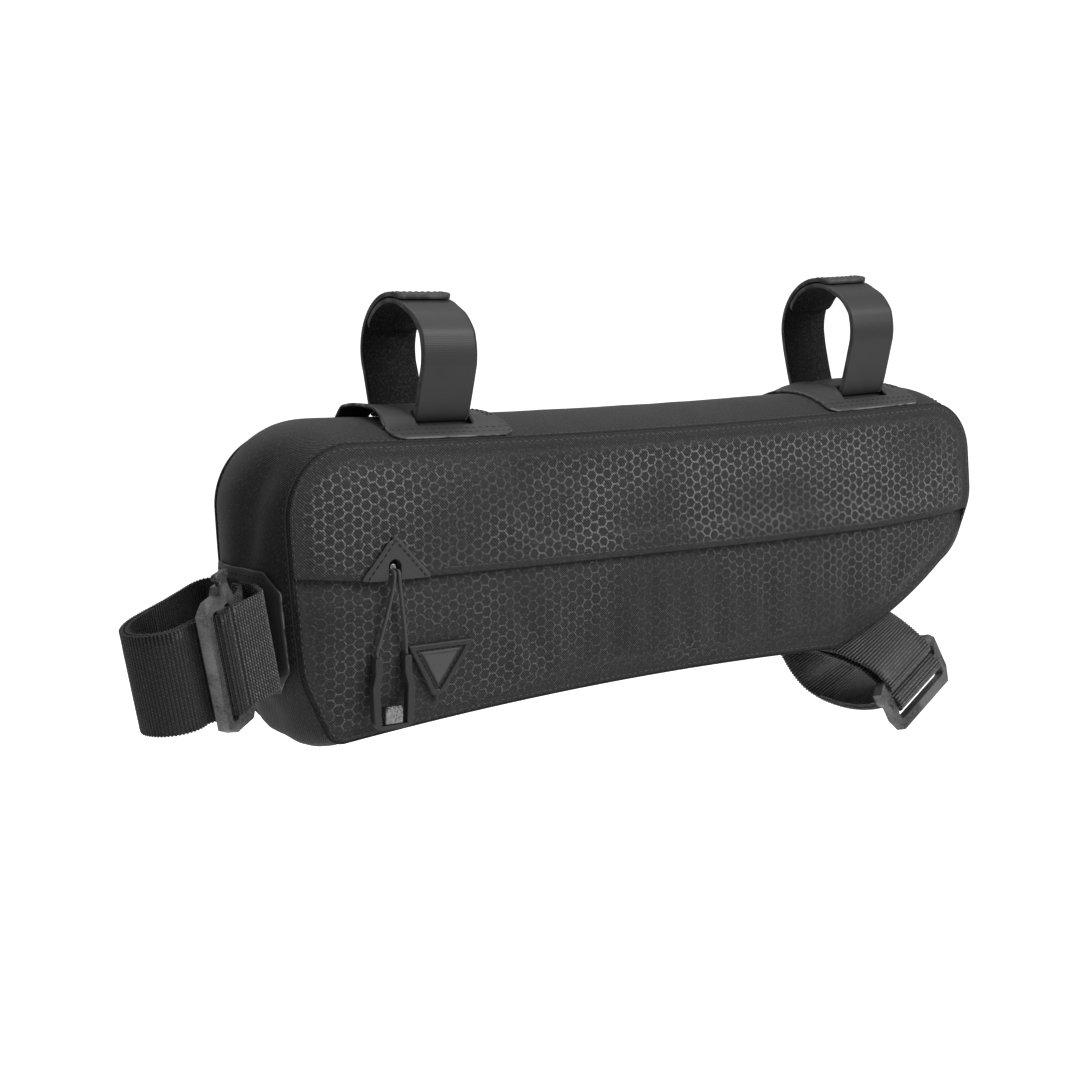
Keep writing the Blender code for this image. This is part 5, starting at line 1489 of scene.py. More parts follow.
@dataclass
class Garage:
    """Smooth patch over the zip's end, its notch, and the slider that shows in it."""

    finishes: Finishes
    sewing: Sewing
    width: float = 30 * MM
    height: float = 17 * MM
    thickness: float = 1.2 * MM
    notch_width: float = 5.6 * MM
    notch_height: float = 8 * MM
    slider_width: float = 3.6 * MM
    slider_height: float = 4.4 * MM
    slider_thickness: float = 2.4 * MM

    @staticmethod
    def centre_x() -> float:
        """Middle of the patch along the bag."""
        return SHAPE.rear_x + SHAPE.length * 0.126

    @staticmethod
    def notch_x() -> float:
        """Middle of the notch along the bag."""
        return Garage.centre_x() - Garage.width * 0.04

    @staticmethod
    def slider_z() -> float:
        """Middle of the slider's height."""
        edge = float(SHAPE.flap_z(Garage.notch_x()))
        return edge + Garage.notch_height - Garage.notch_width / 2 - Garage.slider_height * 0.30

    @staticmethod
    def slider_face_y() -> float:
        """Outer face of the slider."""
        place = np.array([[Garage.notch_x(), Garage.slider_z()]])
        return -(float(SHAPE.upper_depth(place)[0]) - SHAPE.tuck + Garage.slider_thickness)

    @staticmethod
    def notch_loop() -> list[tuple[float, float]]:
        """Outline of the notch in the side view, round at its top and open below the flap's edge."""
        middle, radius = Garage.notch_x(), Garage.notch_width / 2
        edge = float(SHAPE.flap_z(middle))
        arch = edge + Garage.notch_height - radius
        loop = [(middle - radius, edge - 2 * MM), (middle + radius, edge - 2 * MM)]
        loop += [
            (middle + radius * math.cos(a), arch + radius * math.sin(a)) for a in np.linspace(0, math.pi, 17)
        ]
        return loop

    def build(self) -> None:
        """Builds the patch with its dark stitching, and the slider."""
        patch = TrianglePatch(
            SHAPE.flap_z, self.height, self.width, self.centre_x(), -self.width * 0.03, 0.12,
        )
        flat = patch.grid.reshape(-1, 2)
        soft = smoothstep(patch.edge_distance() / (0.9 * MM)) * 0.25 * MM
        y = -(SHAPE.upper_depth(flat) + 2 * SHAPE.seat_gap - 0.1 * MM + soft.ravel())
        grid = np.column_stack((flat[:, 0], y, flat[:, 1])).reshape(*patch.grid.shape[:2], 3)
        piece = grid_object("zip_garage_patch", grid, patch.grid)
        face_outwards(piece, lambda p: (0, -1, 0))
        give_wall(piece, self.thickness - 0.3 * MM, offset=1.0, edge=0.25 * MM)
        bake_modifiers(piece)
        SidePanels.cut_notch(piece)
        dress(piece, self.finishes.patch, "smooth_patch", "zip_garage")
        lift = self.thickness + SHAPE.seat_gap + 0.32 * MM
        row = patch.slants(2.0 * MM)
        y = -(SHAPE.upper_depth(row) + lift)
        self.sewing.sew(
            "garage_stitches", [np.column_stack((row[:, 0], y, row[:, 1]))], Thread.DARK,
            2.6 * MM, 1.9 * MM, 0.5 * MM, slot="smooth_patch",
        )
        self.build_slider()

    def build_slider(self) -> None:
        """Slider body with its rounded nose."""
        wide, tall, deep = self.slider_width, self.slider_height, self.slider_thickness
        middle_y = self.slider_face_y() + deep / 2
        corners = [
            (-wide / 2, -tall / 2), (wide / 2, -tall / 2), (wide * 0.40, tall / 2),
            (-wide * 0.40, tall / 2),
        ]
        body = flat_piece(
            "zip_slider_body", [rounded_loop(corners, (0.5 * MM, 0.5 * MM, 1.2 * MM, 1.2 * MM))], deep,
            lambda p: (self.notch_x() + p[0], middle_y + p[2], self.slider_z() + p[1]), 0.45 * MM,
        )
        bake_modifiers(body)
        dress(body, self.finishes.slider, "slider_metal", "zip_slider")


@dataclass
class Badge:
    """Rubber badge with a raised rim, a stitched groove and a bare field."""

    finishes: Finishes
    sewing: Sewing
    width: float = 30 * MM
    height: float = 24 * MM
    thickness: float = 1.8 * MM
    rim: float = 2.1 * MM
    groove: float = 1.3 * MM

    def build(self) -> None:
        """Builds the badge."""
        centre = SHAPE.rear_x + SHAPE.length * 0.179
        top_z = SHAPE.top_z - SHAPE.height * 0.685
        patch = TrianglePatch(
            lambda x: np.full_like(x, top_z), -self.height, self.width, centre, -self.width * 0.02, 0.12,
            rows=84, cols=101,
        )
        inside = patch.edge_distance()
        face = self.thickness * (0.55 + 0.45 * smoothstep(inside / (0.5 * MM)))
        face -= 0.75 * MM * smoothstep((inside - self.rim) / (0.35 * MM))
        face += 0.45 * MM * smoothstep((inside - self.rim - self.groove) / (0.35 * MM))
        ridge = np.exp(-(((inside - self.rim - self.groove - 0.6 * MM) / (0.35 * MM)) ** 2))
        face += 0.18 * MM * ridge
        flat = patch.grid.reshape(-1, 2)
        y = -(SHAPE.lower_depth(flat) + SHAPE.seat_gap + face.ravel())
        grid = np.column_stack((flat[:, 0], y, flat[:, 1])).reshape(*patch.grid.shape[:2], 3)
        piece = grid_object("badge_rubber", grid, patch.grid)
        face_outwards(piece, lambda p: (0, -1, 0))
        piece.data.materials.append(self.finishes.rubber)
        piece.data.materials.append(self.finishes.field)
        reach = (inside[:-1, :-1] + inside[1:, 1:]).ravel() / 2
        field_faces = (reach > self.rim + self.groove + 1.0 * MM).astype(np.int32)
        piece.data.polygons.foreach_set("material_index", field_faces)
        give_wall(piece, self.thickness * 0.5)
        dress(piece, self.finishes.rubber, "smooth_patch", "badge_patch")
        rim = patch.rim()
        inset = self.rim + self.groove * 0.5
        ahead = np.roll(rim, -3, axis=0) - np.roll(rim, 3, axis=0)
        ahead /= np.maximum(np.linalg.norm(ahead, axis=1), 1e-9)[:, None]
        side = np.column_stack((-ahead[:, 1], ahead[:, 0]))
        middle = rim.mean(axis=0)
        side *= np.sign(((middle - rim) * side).sum(axis=1))[:, None]
        line = rim + side * inset
        line = line[self.clear_of(rim, line, inset * 0.94)]
        line = np.vstack((line, line[:1]))
        y = -(SHAPE.lower_depth(line) + SHAPE.seat_gap + self.thickness - 0.62 * MM)
        self.sewing.sew(
            "badge_stitches", [np.column_stack((line[:, 0], y, line[:, 1]))], Thread.DARK,
            2.4 * MM, 1.8 * MM, 0.5 * MM, slot="smooth_patch",
        )

    @staticmethod
    def clear_of(rim: Array, line: Array, least: float) -> Array:
        """Which points of an inset line stay a distance from the whole outline."""
        gap = np.linalg.norm(line[:, None, :] - rim[None], axis=-1).min(axis=1)
        return gap > least


@dataclass
class Pull:
    """Cord of two strands and the forked pull with its glossy block."""

    finishes: Finishes
    cord: float = 1.5 * MM
    drop: float = 29.5 * MM
    width: float = 19 * MM
    height: float = 28 * MM
    thickness: float = 3.4 * MM
    arm: float = 3.2 * MM
    crimp_width: float = 8 * MM
    crimp_height: float = 7 * MM
    hang: tuple = (
        # (drop, out, swing towards the arm)
        (0.00, 0.65, 0.00),
        (0.03, 0.95, 0.00),
        (0.10, 1.00, 0.03),
        (0.20, 1.00, 0.10),
        (0.34, 1.00, 0.26),
        (0.52, 0.95, 0.48),
        (0.70, 0.85, 0.70),
        (0.86, 0.60, 0.90),
        (0.95, 0.40, 0.98),
    )
    side: tuple = (
        # (out, down, corner radius in mm)
        (0.86, 0.00, 0.6),
        (0.86, 0.22, 4.0),
        (1.00, 0.40, 5.0),
        (0.93, 0.90, 3.5),
        (0.70, 1.00, 4.0),
    )

    def __post_init__(self) -> None:
        """Places the pull under the notch."""
        self.x = Garage.notch_x() - Garage.notch_width * 0.40
        self.y = -(SHAPE.half + SHAPE.bulge + SHAPE.seat_gap + self.thickness / 2)
        self.top_z = float(SHAPE.flap_z(Garage.notch_x())) - self.drop + SHAPE.seat_gap

    def routes(self) -> list[list[tuple[float, float, float]]]:
        """Chosen points of the two strands from the slider to the arms of the pull."""
        arm = self.width / 2 * 0.86 - self.arm / 2
        start_y = Garage.slider_face_y() - 2 * SHAPE.seat_gap
        clear_y = min(start_y, self.y)
        start_z = Garage.slider_z() - Garage.slider_height * 0.1
        top = self.top_z + SHAPE.seat_gap
        routes = []
        for side in (-1, 1):
            start_x = Garage.notch_x() + side * (self.cord / 2 + SHAPE.layer_gap / 2)
            end_x = self.x + side * arm
            points = [(start_x, start_y, start_z)]
            for drop, out, swing in self.hang:
                points.append((
                    start_x + (end_x - start_x) * swing,
                    start_y + (clear_y - self.cord * 0.6 - start_y) * out,
                    start_z + (top - start_z) * drop,
                ))
            points.append((end_x, self.y, top))
            routes.append(points)
        return routes

    def build(self) -> None:
        """Builds the fork, its block and the two strands."""
        handle = self.build_handle()
        crimp = self.build_crimp()
        for name, points in zip(("pull_cord_left", "pull_cord_right"), self.routes()):
            route = smooth_route(points, self.cord * 0.8)
            curve = bpy.data.curves.new(name + "_strand", "CURVE")
            curve.dimensions = "3D"
            curve.bevel_depth = self.cord / 2
            curve.bevel_resolution = 4
            curve.use_fill_caps = True
            spline = curve.splines.new("POLY")
            spline.points.add(len(route) - 1)
            for point, place in zip(spline.points, route):
                point.co = (*place, 1)
            strand = bpy.data.objects.new(name + "_strand", curve)
            bpy.context.scene.collection.objects.link(strand)
            curve.materials.append(self.finishes.cord)
            dress(strand, self.finishes.cord, "pull_cord", name)

    def build_handle(self) -> bpy.types.Object:
        """Forked pull: two arms kinked outwards, a rounded foot and a collar on each arm."""
        half = self.width / 2
        foot = self.height - self.arm * 0.5
        outer = [(out * half, -down * self.height) for out, down, _ in self.side]
        radii = [radius * MM for _, _, radius in self.side]
        inner = [(u - self.arm, max(v, -foot)) for u, v in outer[:-1]]
        inner[-1] = (outer[-2][0] - self.arm, -foot)
        inner_radii = [0.6 * MM, 2.0 * MM, 2.5 * MM, 0.3 * MM]
        corners = (
            outer + [(-u, v) for u, v in reversed(outer)]
            + [(-u, v) for u, v in inner] + list(reversed(inner))
        )
        rounds = radii + radii[::-1] + inner_radii + inner_radii[::-1]

        def place(p: Array) -> tuple[float, float, float]:
            """A point of the pull's face as a place on the bag."""
            return (self.x + p[0], self.y + p[2], self.top_z + p[1])

        handle = flat_piece(
            "pull_handle_fork", [rounded_loop(corners, rounds)], self.thickness, place, 1.1 * MM,
        )
        bake_modifiers(handle)
        bm = bmesh.new()
        bm.from_mesh(handle.data)
        arm_x = half * 0.86 - self.arm / 2
        for side in (-1, 1):
            for level, fat in ((0.9 * MM, 0.56), (3.4 * MM, 0.54)):
                made = bmesh.ops.create_cone(
                    bm, cap_ends=True, segments=20, radius1=self.arm * fat, radius2=self.arm * fat,
                    depth=1.1 * MM,
                )
                middle = Vector(place(np.array((side * arm_x, -level, 0.0))))
                bmesh.ops.translate(bm, verts=made["verts"], vec=middle)
                rims = [e for e in {e for v in made["verts"] for e in v.link_edges} if len(e.link_faces) == 2
                        and abs(e.verts[0].co.z - e.verts[1].co.z) < 1e-6]
                bmesh.ops.bevel(bm, geom=rims, offset=0.3 * MM, segments=2, affect="EDGES")
        bm.to_mesh(handle.data)
        bm.free()
        return dress(handle, self.finishes.pull, "moulded_pull", "pull_handle")

    def build_crimp(self) -> bpy.types.Object:
        """Glossy block in the foot of the fork, with a pressed lip."""
        foot = self.height - self.arm * 0.5
        middle = self.top_z - foot + SHAPE.seat_gap + self.crimp_height / 2
        wide, tall = self.crimp_width / 2, self.crimp_height / 2
        corners = [
            (-wide, -tall), (wide, -tall), (wide, tall * 0.6), (wide * 0.8, tall), (-wide * 0.8, tall),
            (-wide, tall * 0.6),
        ]
        block = flat_piece(
            "pull_crimp_block", [rounded_loop(corners, [0.7 * MM] * 6)], self.thickness,
            lambda p: (self.x + p[0], self.y + p[2], middle + p[1]), 0.7 * MM,
        )
        bake_modifiers(block)
        return dress(block, self.finishes.crimp, "crimp_metal", "pull_crimp")


@dataclass
class SeatPatch:
    """Smooth patch with clipped corners on the rear end, under the seat-tube strap."""

    finishes: Finishes
    sewing: Sewing
    height: float = 46 * MM
    width: float = 49 * MM
    thickness: float = 1.2 * MM

    def reach(self, share: Array) -> Array:
        """Half width at a share of the half height, narrowing at the clipped corners."""
        return self.width / 2 * (1 - 0.3 * np.maximum(0.0, (np.abs(share) - 0.66) / 0.34))

    def build(self, run: float) -> None:
        """Builds the patch and its inset stitching."""
        shares = np.linspace(-1, 1, 61)
        cols = np.linspace(-1, 1, 51)
        rows, places = [], []
        for share in shares:
            across = cols * self.reach(share)
            at = np.full(len(cols), run + share * self.height / 2)
            rows.append(SHAPE.band(at, across, SHAPE.seat_gap + 0.15 * MM))
            places.append(np.column_stack((at, across)))
        piece = grid_object("seat_anchor_patch_sheet", np.stack(rows), np.stack(places))
        piece.data.materials.append(self.finishes.patch)
        piece.data.materials.append(self.finishes.edge)
        face_outwards(piece, lambda p: (-1, 0, 0))
        give_wall(piece, self.thickness, offset=1.0, rim_slot=1)
        dress(piece, self.finishes.patch, "smooth_patch", "seat_anchor_patch")
        ring = []
        for share, col in self.ring(0.90):
            ring.append(SHAPE.band(run + share * self.height / 2, col * float(self.reach(share)),
                                   SHAPE.seat_gap + self.thickness + 0.22 * MM)[0])
        self.sewing.sew("seat_patch_stitches", [np.array(ring)], Thread.DARK, 3.0 * MM, 2.1 * MM, 0.45 * MM,
                        slot="smooth_patch")

    @staticmethod
    def ring(inset: float) -> list[tuple[float, float]]:
        """Closed line inside the patch's edge, as shares of its half height and half width."""
        line = [(share, -inset) for share in np.linspace(-inset, inset, 40)]
        line += [(inset, col) for col in np.linspace(-inset, inset, 40)]
        line += [(share, inset) for share in np.linspace(inset, -inset, 40)]
        line += [(-inset, col) for col in np.linspace(inset, -inset, 40)]
        return line


@dataclass
class TopAnchor:
    """Smooth patch on the top with a raised tunnel and a slit on each side for the loop."""

    finishes: Finishes
    sewing: Sewing
    length: float = 56 * MM
    span: float = 54 * MM
    arch: float = 4 * MM
    slit: float = 6.6 * MM
    strap_width: float = 25 * MM
    thickness: float = 1.2 * MM
    tunnel: tuple = (
        # (along the patch, rise)
        (0.00, 1.00),
        (0.18, 0.78),
        (0.30, 0.62),
        (0.74, 0.60),
        (0.90, 0.00),
        (1.00, 0.00),
    )

    def __post_init__(self) -> None:
        """Places the slits."""
        self.outer = SHAPE.loop_radius * 0.86
        self.inner = self.outer - self.slit

    def lift(self, share: float, across: Array, arched: bool) -> Array:
        """Height of the patch over the band."""
        place = (share + 1) / 2
        rise = float(np.interp(place, column(self.tunnel, 0), column(self.tunnel, 1))) * self.arch
        if not arched and place < 0.3:
            rise = 0.6 * self.arch * float(smoothstep(place / 0.2))
        bridge = SHAPE.loop_thickness + 2 * SHAPE.seat_gap + 1.4 * SHAPE.layer_gap
        over = abs(share) * self.length / 2 - self.strap_width * 0.56
        rise = max(rise, bridge * float(smoothstep(1 - over / (4 * MM))))
        return rise * smoothstep((self.outer - np.abs(across)) / self.slit)

    def build(self, name: str, loop_x: float, arched: bool) -> None:
        """Builds one patch and the two rows of stitches along each sewn side."""
        centre = SHAPE.outline.run_at(0, loop_x, 0.02, 0.42)
        half = self.length / 2
        slit_half = (self.strap_width + 4 * SHAPE.seat_gap) / 2 / half
        shares = np.concatenate((
            np.linspace(-1, -slit_half, 14), np.linspace(-slit_half, slit_half, 25)[1:],
            np.linspace(slit_half, 1, 14)[1:],
        ))
        half_line = np.concatenate((
            np.linspace(0, self.inner, 12), np.linspace(self.inner, self.outer, 9)[1:],
            np.linspace(self.outer, self.span / 2, 9)[1:],
        ))
        lines = np.concatenate((-half_line[:0:-1], half_line))
        rows, places = [], []
        for share in shares:
            pull = 1 - 0.1 * max(0.0, (abs(share) - 0.85) / 0.15) * (np.abs(lines) > self.outer)
            across = lines * pull
            run = np.full(len(lines), centre + share * half)
            rows.append(
                SHAPE.band(run, across, SHAPE.seat_gap + 0.1 * MM + self.lift(share, across, arched))
            )
            places.append(np.column_stack((run, across)))
        piece = grid_object(name + "_patch", np.stack(rows), np.stack(places))
        self.open_slits(piece, shares, lines, slit_half)
        piece.data.materials.append(self.finishes.patch)
        piece.data.materials.append(self.finishes.edge)
        face_outwards(piece, lambda p: (0, 0, 1))
        give_wall(piece, self.thickness, offset=1.0, rim_slot=1)
        dress(piece, self.finishes.patch, "smooth_patch", name)
        sewn = []
        shares = np.linspace(-0.95, 0.95, 60)
        for side in Side:
            for inset in (1.7 * MM, 4.2 * MM):
                across = side.value * (self.span / 2 - inset)
                sewn.append(
                    SHAPE.band(centre + shares * half, across, SHAPE.seat_gap + self.thickness + 0.25 * MM)
                )
        for share in (0.95, 0.88):
            across = np.linspace(-self.inner * 0.9, self.inner * 0.9, 40)
            if self.lift(share, across, arched).max() < 0.5 * MM:
                sewn.append(SHAPE.band(np.full(40, centre + share * half), across,
                                       SHAPE.seat_gap + self.thickness + 0.25 * MM))
        self.sewing.sew(
            name + "_stitches", sewn, Thread.DARK, 3.0 * MM, 2.1 * MM, 0.42 * MM, slot="smooth_patch",
        )

    def open_slits(self, piece: bpy.types.Object, shares: Array, lines: Array, slit_half: float) -> None:
        """Takes the faces of the two slits out of the sheet."""
        bm = bmesh.new()
        bm.from_mesh(piece.data)
        bm.faces.ensure_lookup_table()
        cols = len(lines) - 1
        middle_share = (shares[:-1] + shares[1:]) / 2
        middle_line = np.abs(lines[:-1] + lines[1:]) / 2
        gone = [
            bm.faces[i * cols + j]
            for i, share in enumerate(middle_share) for j, line in enumerate(middle_line)
            if abs(share) < slit_half and self.inner < line < self.outer
        ]
        bmesh.ops.delete(bm, geom=gone, context="FACES")
        bm.to_mesh(piece.data)
        bm.free()


@dataclass
class TopLoop:
    """Hook-and-loop strap round the top tube: satin outside, dark pile inside."""

    finishes: Finishes
    sewing: Sewing
    anchor: TopAnchor
    width: float = 25 * MM

    def route(self, loop_x: float, rise: float) -> list[tuple[float, float, float]]:
        """Centre line from the free end inside, once round the tube and over its own start."""
        thick = SHAPE.loop_thickness
        layer = thick + SHAPE.layer_gap
        centre = SHAPE.outline.run_at(0, loop_x, 0.02, 0.42)
        runs = centre + np.linspace(-0.55, 0.55, 5) * self.width
        _, normal = SHAPE.outline.at(centre)
        slope = -normal[0, 0] / normal[0, 1]

        def on_band(across: float) -> tuple[float, float]:
            """Where the loop leaves the band, across and up."""
            places = SHAPE.band(runs, across, SHAPE.seat_gap + thick / 2)
            return across, float(np.max(places[:, 2] - slope * (places[:, 0] - loop_x)))

        def on_circle(degrees: float, radius: float) -> tuple[float, float]:
            """A point of the loop's round part, across and up."""
            angle = math.radians(degrees)
            lifted = rise * (1 if math.sin(angle) > -0.3 else 0)
            return radius * math.cos(angle), lifted + radius * math.sin(angle)

        radius = SHAPE.loop_radius
        inner = radius - layer
        places = [on_circle(a, inner - 0.4 * SHAPE.layer_gap) for a in range(24, 121, 12)]
        places += [on_circle(138, inner + layer * 0.5)]
        places += [on_circle(a, radius) for a in range(156, 206, 10)]
        side = (self.anchor.inner + self.anchor.outer) / 2
        low = on_band(side)[1] + thick * 1.4
        turn_in = on_band(self.anchor.inner)[1] + SHAPE.layer_gap * 1.2
        places += [(-side, low), (-self.anchor.inner, turn_in)]
        places += [on_band(across) for across in np.linspace(-0.7, 0.7, 5) * self.anchor.inner]
        places += [(self.anchor.inner, turn_in), (side, low)]
        places += [on_circle(a, radius) for a in range(-25, 116, 12)]
        return [(loop_x, y, z) for y, z in places]

    def build(self, name: str, loop_x: float, rise: float) -> None:
        """Builds one loop."""
        route = smooth_route(self.route(loop_x, rise), 0.9 * MM)
        _, normal = SHAPE.outline.at(SHAPE.outline.run_at(0, loop_x, 0.02, 0.42))
        sideways = np.array((normal[0, 1], 0.0, -normal[0, 0]))
        cols = np.linspace(-1, 1, 21)
        run = np.concatenate(([0], np.cumsum(np.linalg.norm(np.diff(route, axis=0), axis=1))))
        ends = np.minimum(run, run[-1] - run)
        round_end = np.sqrt(np.clip(1 - ((4 * MM - np.minimum(ends, 4 * MM)) / (4 * MM)) ** 2, 0.02, 1))
        half = self.width / 2 - 2.2 * MM * (1 - round_end)
        grid = route[:, None, :] + sideways[None, None, :] * (half[:, None] * cols[None, :])[..., None]
        uv = np.stack(np.broadcast_arrays(run[:, None], (cols * self.width / 2)[None, :]), axis=2)
        piece = grid_object(name + "_strap", grid, uv)
        for look in (self.finishes.loop, self.finishes.pile, self.finishes.dark_edge):
            piece.data.materials.append(look)
        face_outwards(piece, lambda p: (0, p.y, p.z))
        give_wall(piece, SHAPE.loop_thickness, offset=0.0, rim_slot=2)
        piece.modifiers["wall"].material_offset = 1
        dress(piece, self.finishes.loop, "hook_and_loop", name)
        self.sew(name, grid, run)

    def sew(self, name: str, grid: Array, run: Array) -> None:
        """Rows along both edges of the outside, and across the overlap's end."""
        rows = []
        out = SHAPE.loop_thickness / 2 + 0.1 * MM
        ahead = np.gradient(grid[:, 10], axis=0)
        ahead /= np.linalg.norm(ahead, axis=1)[:, None]
        sideways = grid[5, -1] - grid[5, 0]
        sideways /= np.linalg.norm(sideways)
        normal = np.cross(ahead, sideways)
        middle = grid[:, 10] - grid[:, 10].mean(axis=0)
        if float((normal * middle).sum()) < 0:
            normal = -normal
        start = int(np.searchsorted(run, run[-1] * 0.62))
        for col in (2, 18):
            rows.append((grid[:, col] + normal * out)[start:-4])
        cross = grid[-7, 2:19] + normal[-7] * out
        rows.append(cross)
        self.sewing.sew(
            name + "_stitches", rows, Thread.DARK, 2.8 * MM, 2.0 * MM, 0.32 * MM, slot="hook_and_loop",
        )


class StrapFrame:
    """Plane of a strap loop: out of the bag, across it (world Y) and along the tube that it holds."""

    def __init__(self, run: float, angle: float, yaw: float = 0.0, dip: float = 0.0) -> None:
        """Places the plane on the band."""
        self.run = run
        self.origin = SHAPE.band(run, 0.0)[0]
        self.out = np.array((math.cos(angle), 0.0, math.sin(angle)))
        self.along = np.array((self.out[2], 0.0, -self.out[0]))
        _, normal = SHAPE.outline.at(run)
        self.face_turn = math.remainder(math.atan2(normal[0, 1], normal[0, 0]) - angle, 2 * math.pi)
        self.twist = -math.tan(yaw) * np.array((0.0, 1.0, 0.0)) - math.tan(dip) * self.out

    def point(self, out: float, across: float) -> Array:
        """World place of a strap-plane place."""
        return self.origin + self.out * out + np.array((0.0, across, 0.0))

    def widthways(self, turn: float) -> Array:
        """Direction across the strap, from lying on the bag's face at 0 to the buckle's bars at 1."""
        angle = (1 - turn) * self.face_turn
        way = self.along * math.cos(angle) + self.out * math.sin(angle) + self.twist * turn
        return way / np.linalg.norm(way)

    def drop(self, across: float) -> float:
        """How far the band's crown falls away from its middle under a strap."""
        return float((self.origin - SHAPE.band(self.run, across)[0]) @ self.out)


@dataclass
class WebbingStrap:
    """Webbing loop with its tail, its tab and its ladder buckle."""

    finishes: Finishes
    sewing: Sewing
    ribs: NodeTree
    name: str
    frame: StrapFrame
    depth: float
    lift: float
    middle: tuple[float, float]
    way: tuple[float, float]
    wraps: float
    tail: tuple[float, float]
    route: tuple
    hooked: bool = False
    width: float = 38 * MM
    thickness: float = 1.6 * MM
    bar: float = 4.5 * MM
    chamfer: float = 1 * MM
    side: float = 4 * MM
    rib_pitch: float = 1.36 * MM
    rib_radius: float = 0.36 * MM
    tab_outer: tuple = (
        # (out, across, turn)
        (0.00, 0.16, 0.00),
        (0.00, 0.30, 0.00),
        (0.03, 0.44, 0.05),
        (0.22, 0.60, 0.45),
        (0.62, 0.85, 1.00),
    )
    tab_inner: tuple = (
        # (out, across, turn)
        (0.74, 0.82, 1.00),
        (0.30, 0.60, 0.50),
        (0.06, 0.38, 0.05),
        (0.00, 0.26, 0.00),
        (0.00, 0.14, 0.00),
    )

    def __post_init__(self) -> None:
        """Works out the radius round a bar and the bars' spacing."""
        corner = math.hypot(self.bar / 2, self.bar / 2 - self.chamfer)
        self.wrap_radius = corner + 2 * SHAPE.seat_gap + self.thickness / 2
        self.bar_pitch = 2 * self.wrap_radius + self.thickness + SHAPE.layer_gap
        self.toward = np.array(self.way) / math.hypot(*self.way)

    @staticmethod
    def arc(centre: Sequence[float], radius: float, start: float, end: float, count: int) -> list[tuple]:
        """Rows of an arc round a buckle's bar in the strap's plane."""
        return [
            (centre[0] + radius * math.cos(a), centre[1] + radius * math.sin(a), 1.0)
            for a in np.linspace(start, end, count)
        ]

    @staticmethod
    def inside_layer(route: list[tuple], first: int, last: int, layer: float) -> list[tuple]:
        """The strap's tail: the route walked back, one layer nearer the tube."""
        middle = np.array((np.mean([row[0] for row in route]), np.mean([row[1] for row in route])))
        rows = []
        for i in range(last, first, -1):
            here, before, after = (np.array(route[k][:2]) for k in (i, i - 1, min(i + 1, len(route) - 1)))
            way = (after - before) / np.linalg.norm(after - before)
            side = np.array((-way[1], way[0]))
            if side @ (middle - here) < 0:
                side = -side
            rows.append((*(here + side * layer), route[i][2]))
        return rows

    def build(self) -> None:
        """Builds the strap, the tab and the buckle."""
        layer = self.thickness + SHAPE.layer_gap
        middle = np.array(self.middle)
        long_way = self.frame.widthways(1.0)
        plane_way = self.frame.out * self.toward[0] + np.array((0.0, self.toward[1], 0.0))
        stretch = 1 / math.sqrt(1 - float(plane_way @ long_way) ** 2)
        radius = self.wrap_radius * stretch
        inner_bar = middle - self.toward * self.bar_pitch * stretch
        toward = math.atan2(self.toward[1], self.toward[0])
        rows = [
            (self.lift + out * self.depth, across * SHAPE.width, turn) for out, across, turn in self.route
        ]
        main_run = [tuple(row) for row in smooth_route(rows, 1.0 * MM, 2)]
        wrap = self.arc(middle, radius, toward, toward - self.wraps, 28)
        count = len(main_run)
        tail = self.inside_layer(main_run, int(count * self.tail[0]), int(count * self.tail[1]), layer)
        joined = [tuple(row) for row in smooth_route(main_run[-3:-1] + wrap[1:3], 0.8 * MM, 2)]
        strap = main_run[:-3] + joined + wrap[3:-2]
        tail_join = [tuple(row) for row in smooth_route([wrap[-2], tail[0]], 1.0 * MM, 2)]
        # The seat strap takes the shaded rib copy, the down strap the painted highlight copy.
        self.webbing(
            self.name + "_strap", strap + tail_join + tail[1:], self.name + "_strap", (4 * MM, 14 * MM),
            self.finishes.ribs if self.hooked else self.finishes.painted_highlight_ribs,
        )

        face_way = np.array((self.toward[1], -self.toward[0]))
        if face_way[1] > 0:
            face_way = -face_way
        near = inner_bar + face_way * radius
        back = inner_bar - face_way * radius
        drop = self.frame.drop
        outer = [
            (self.lift + (near[0] - self.lift) * out - drop(near[1] * across), near[1] * across, turn)
            for out, across, turn in self.tab_outer
        ]
        inner = [
            (
                self.lift + layer + (back[0] - self.lift - layer) * out - drop(back[1] * across),
                back[1] * across, turn,
            )
            for out, across, turn in self.tab_inner
        ]
        start = math.atan2(face_way[1], face_way[0])
        coming_in = near - np.array(outer[-1][:2])
        going_out = np.array(inner[0][:2]) - back
        lead = toward - math.atan2(coming_in[1], coming_in[0])
        lag = math.remainder(toward + math.pi - math.atan2(going_out[1], going_out[0]), 2 * math.pi)
        over = self.arc(inner_bar, radius, start - lead, start + math.pi - lag, 24)
        going = [tuple(row) for row in smooth_route(outer + [over[0]], 1.0 * MM, 2)]
        coming = [tuple(row) for row in smooth_route([over[-1]] + inner, 1.0 * MM, 2)]
        # Both tabs take the painted highlight rib copy.
        self.webbing(
            self.name + "_tab", going + over[1:-1] + coming, self.name + "_strap_tab", (8 * MM, 17 * MM),
            self.finishes.painted_highlight_ribs,
        )
        self.build_buckle()

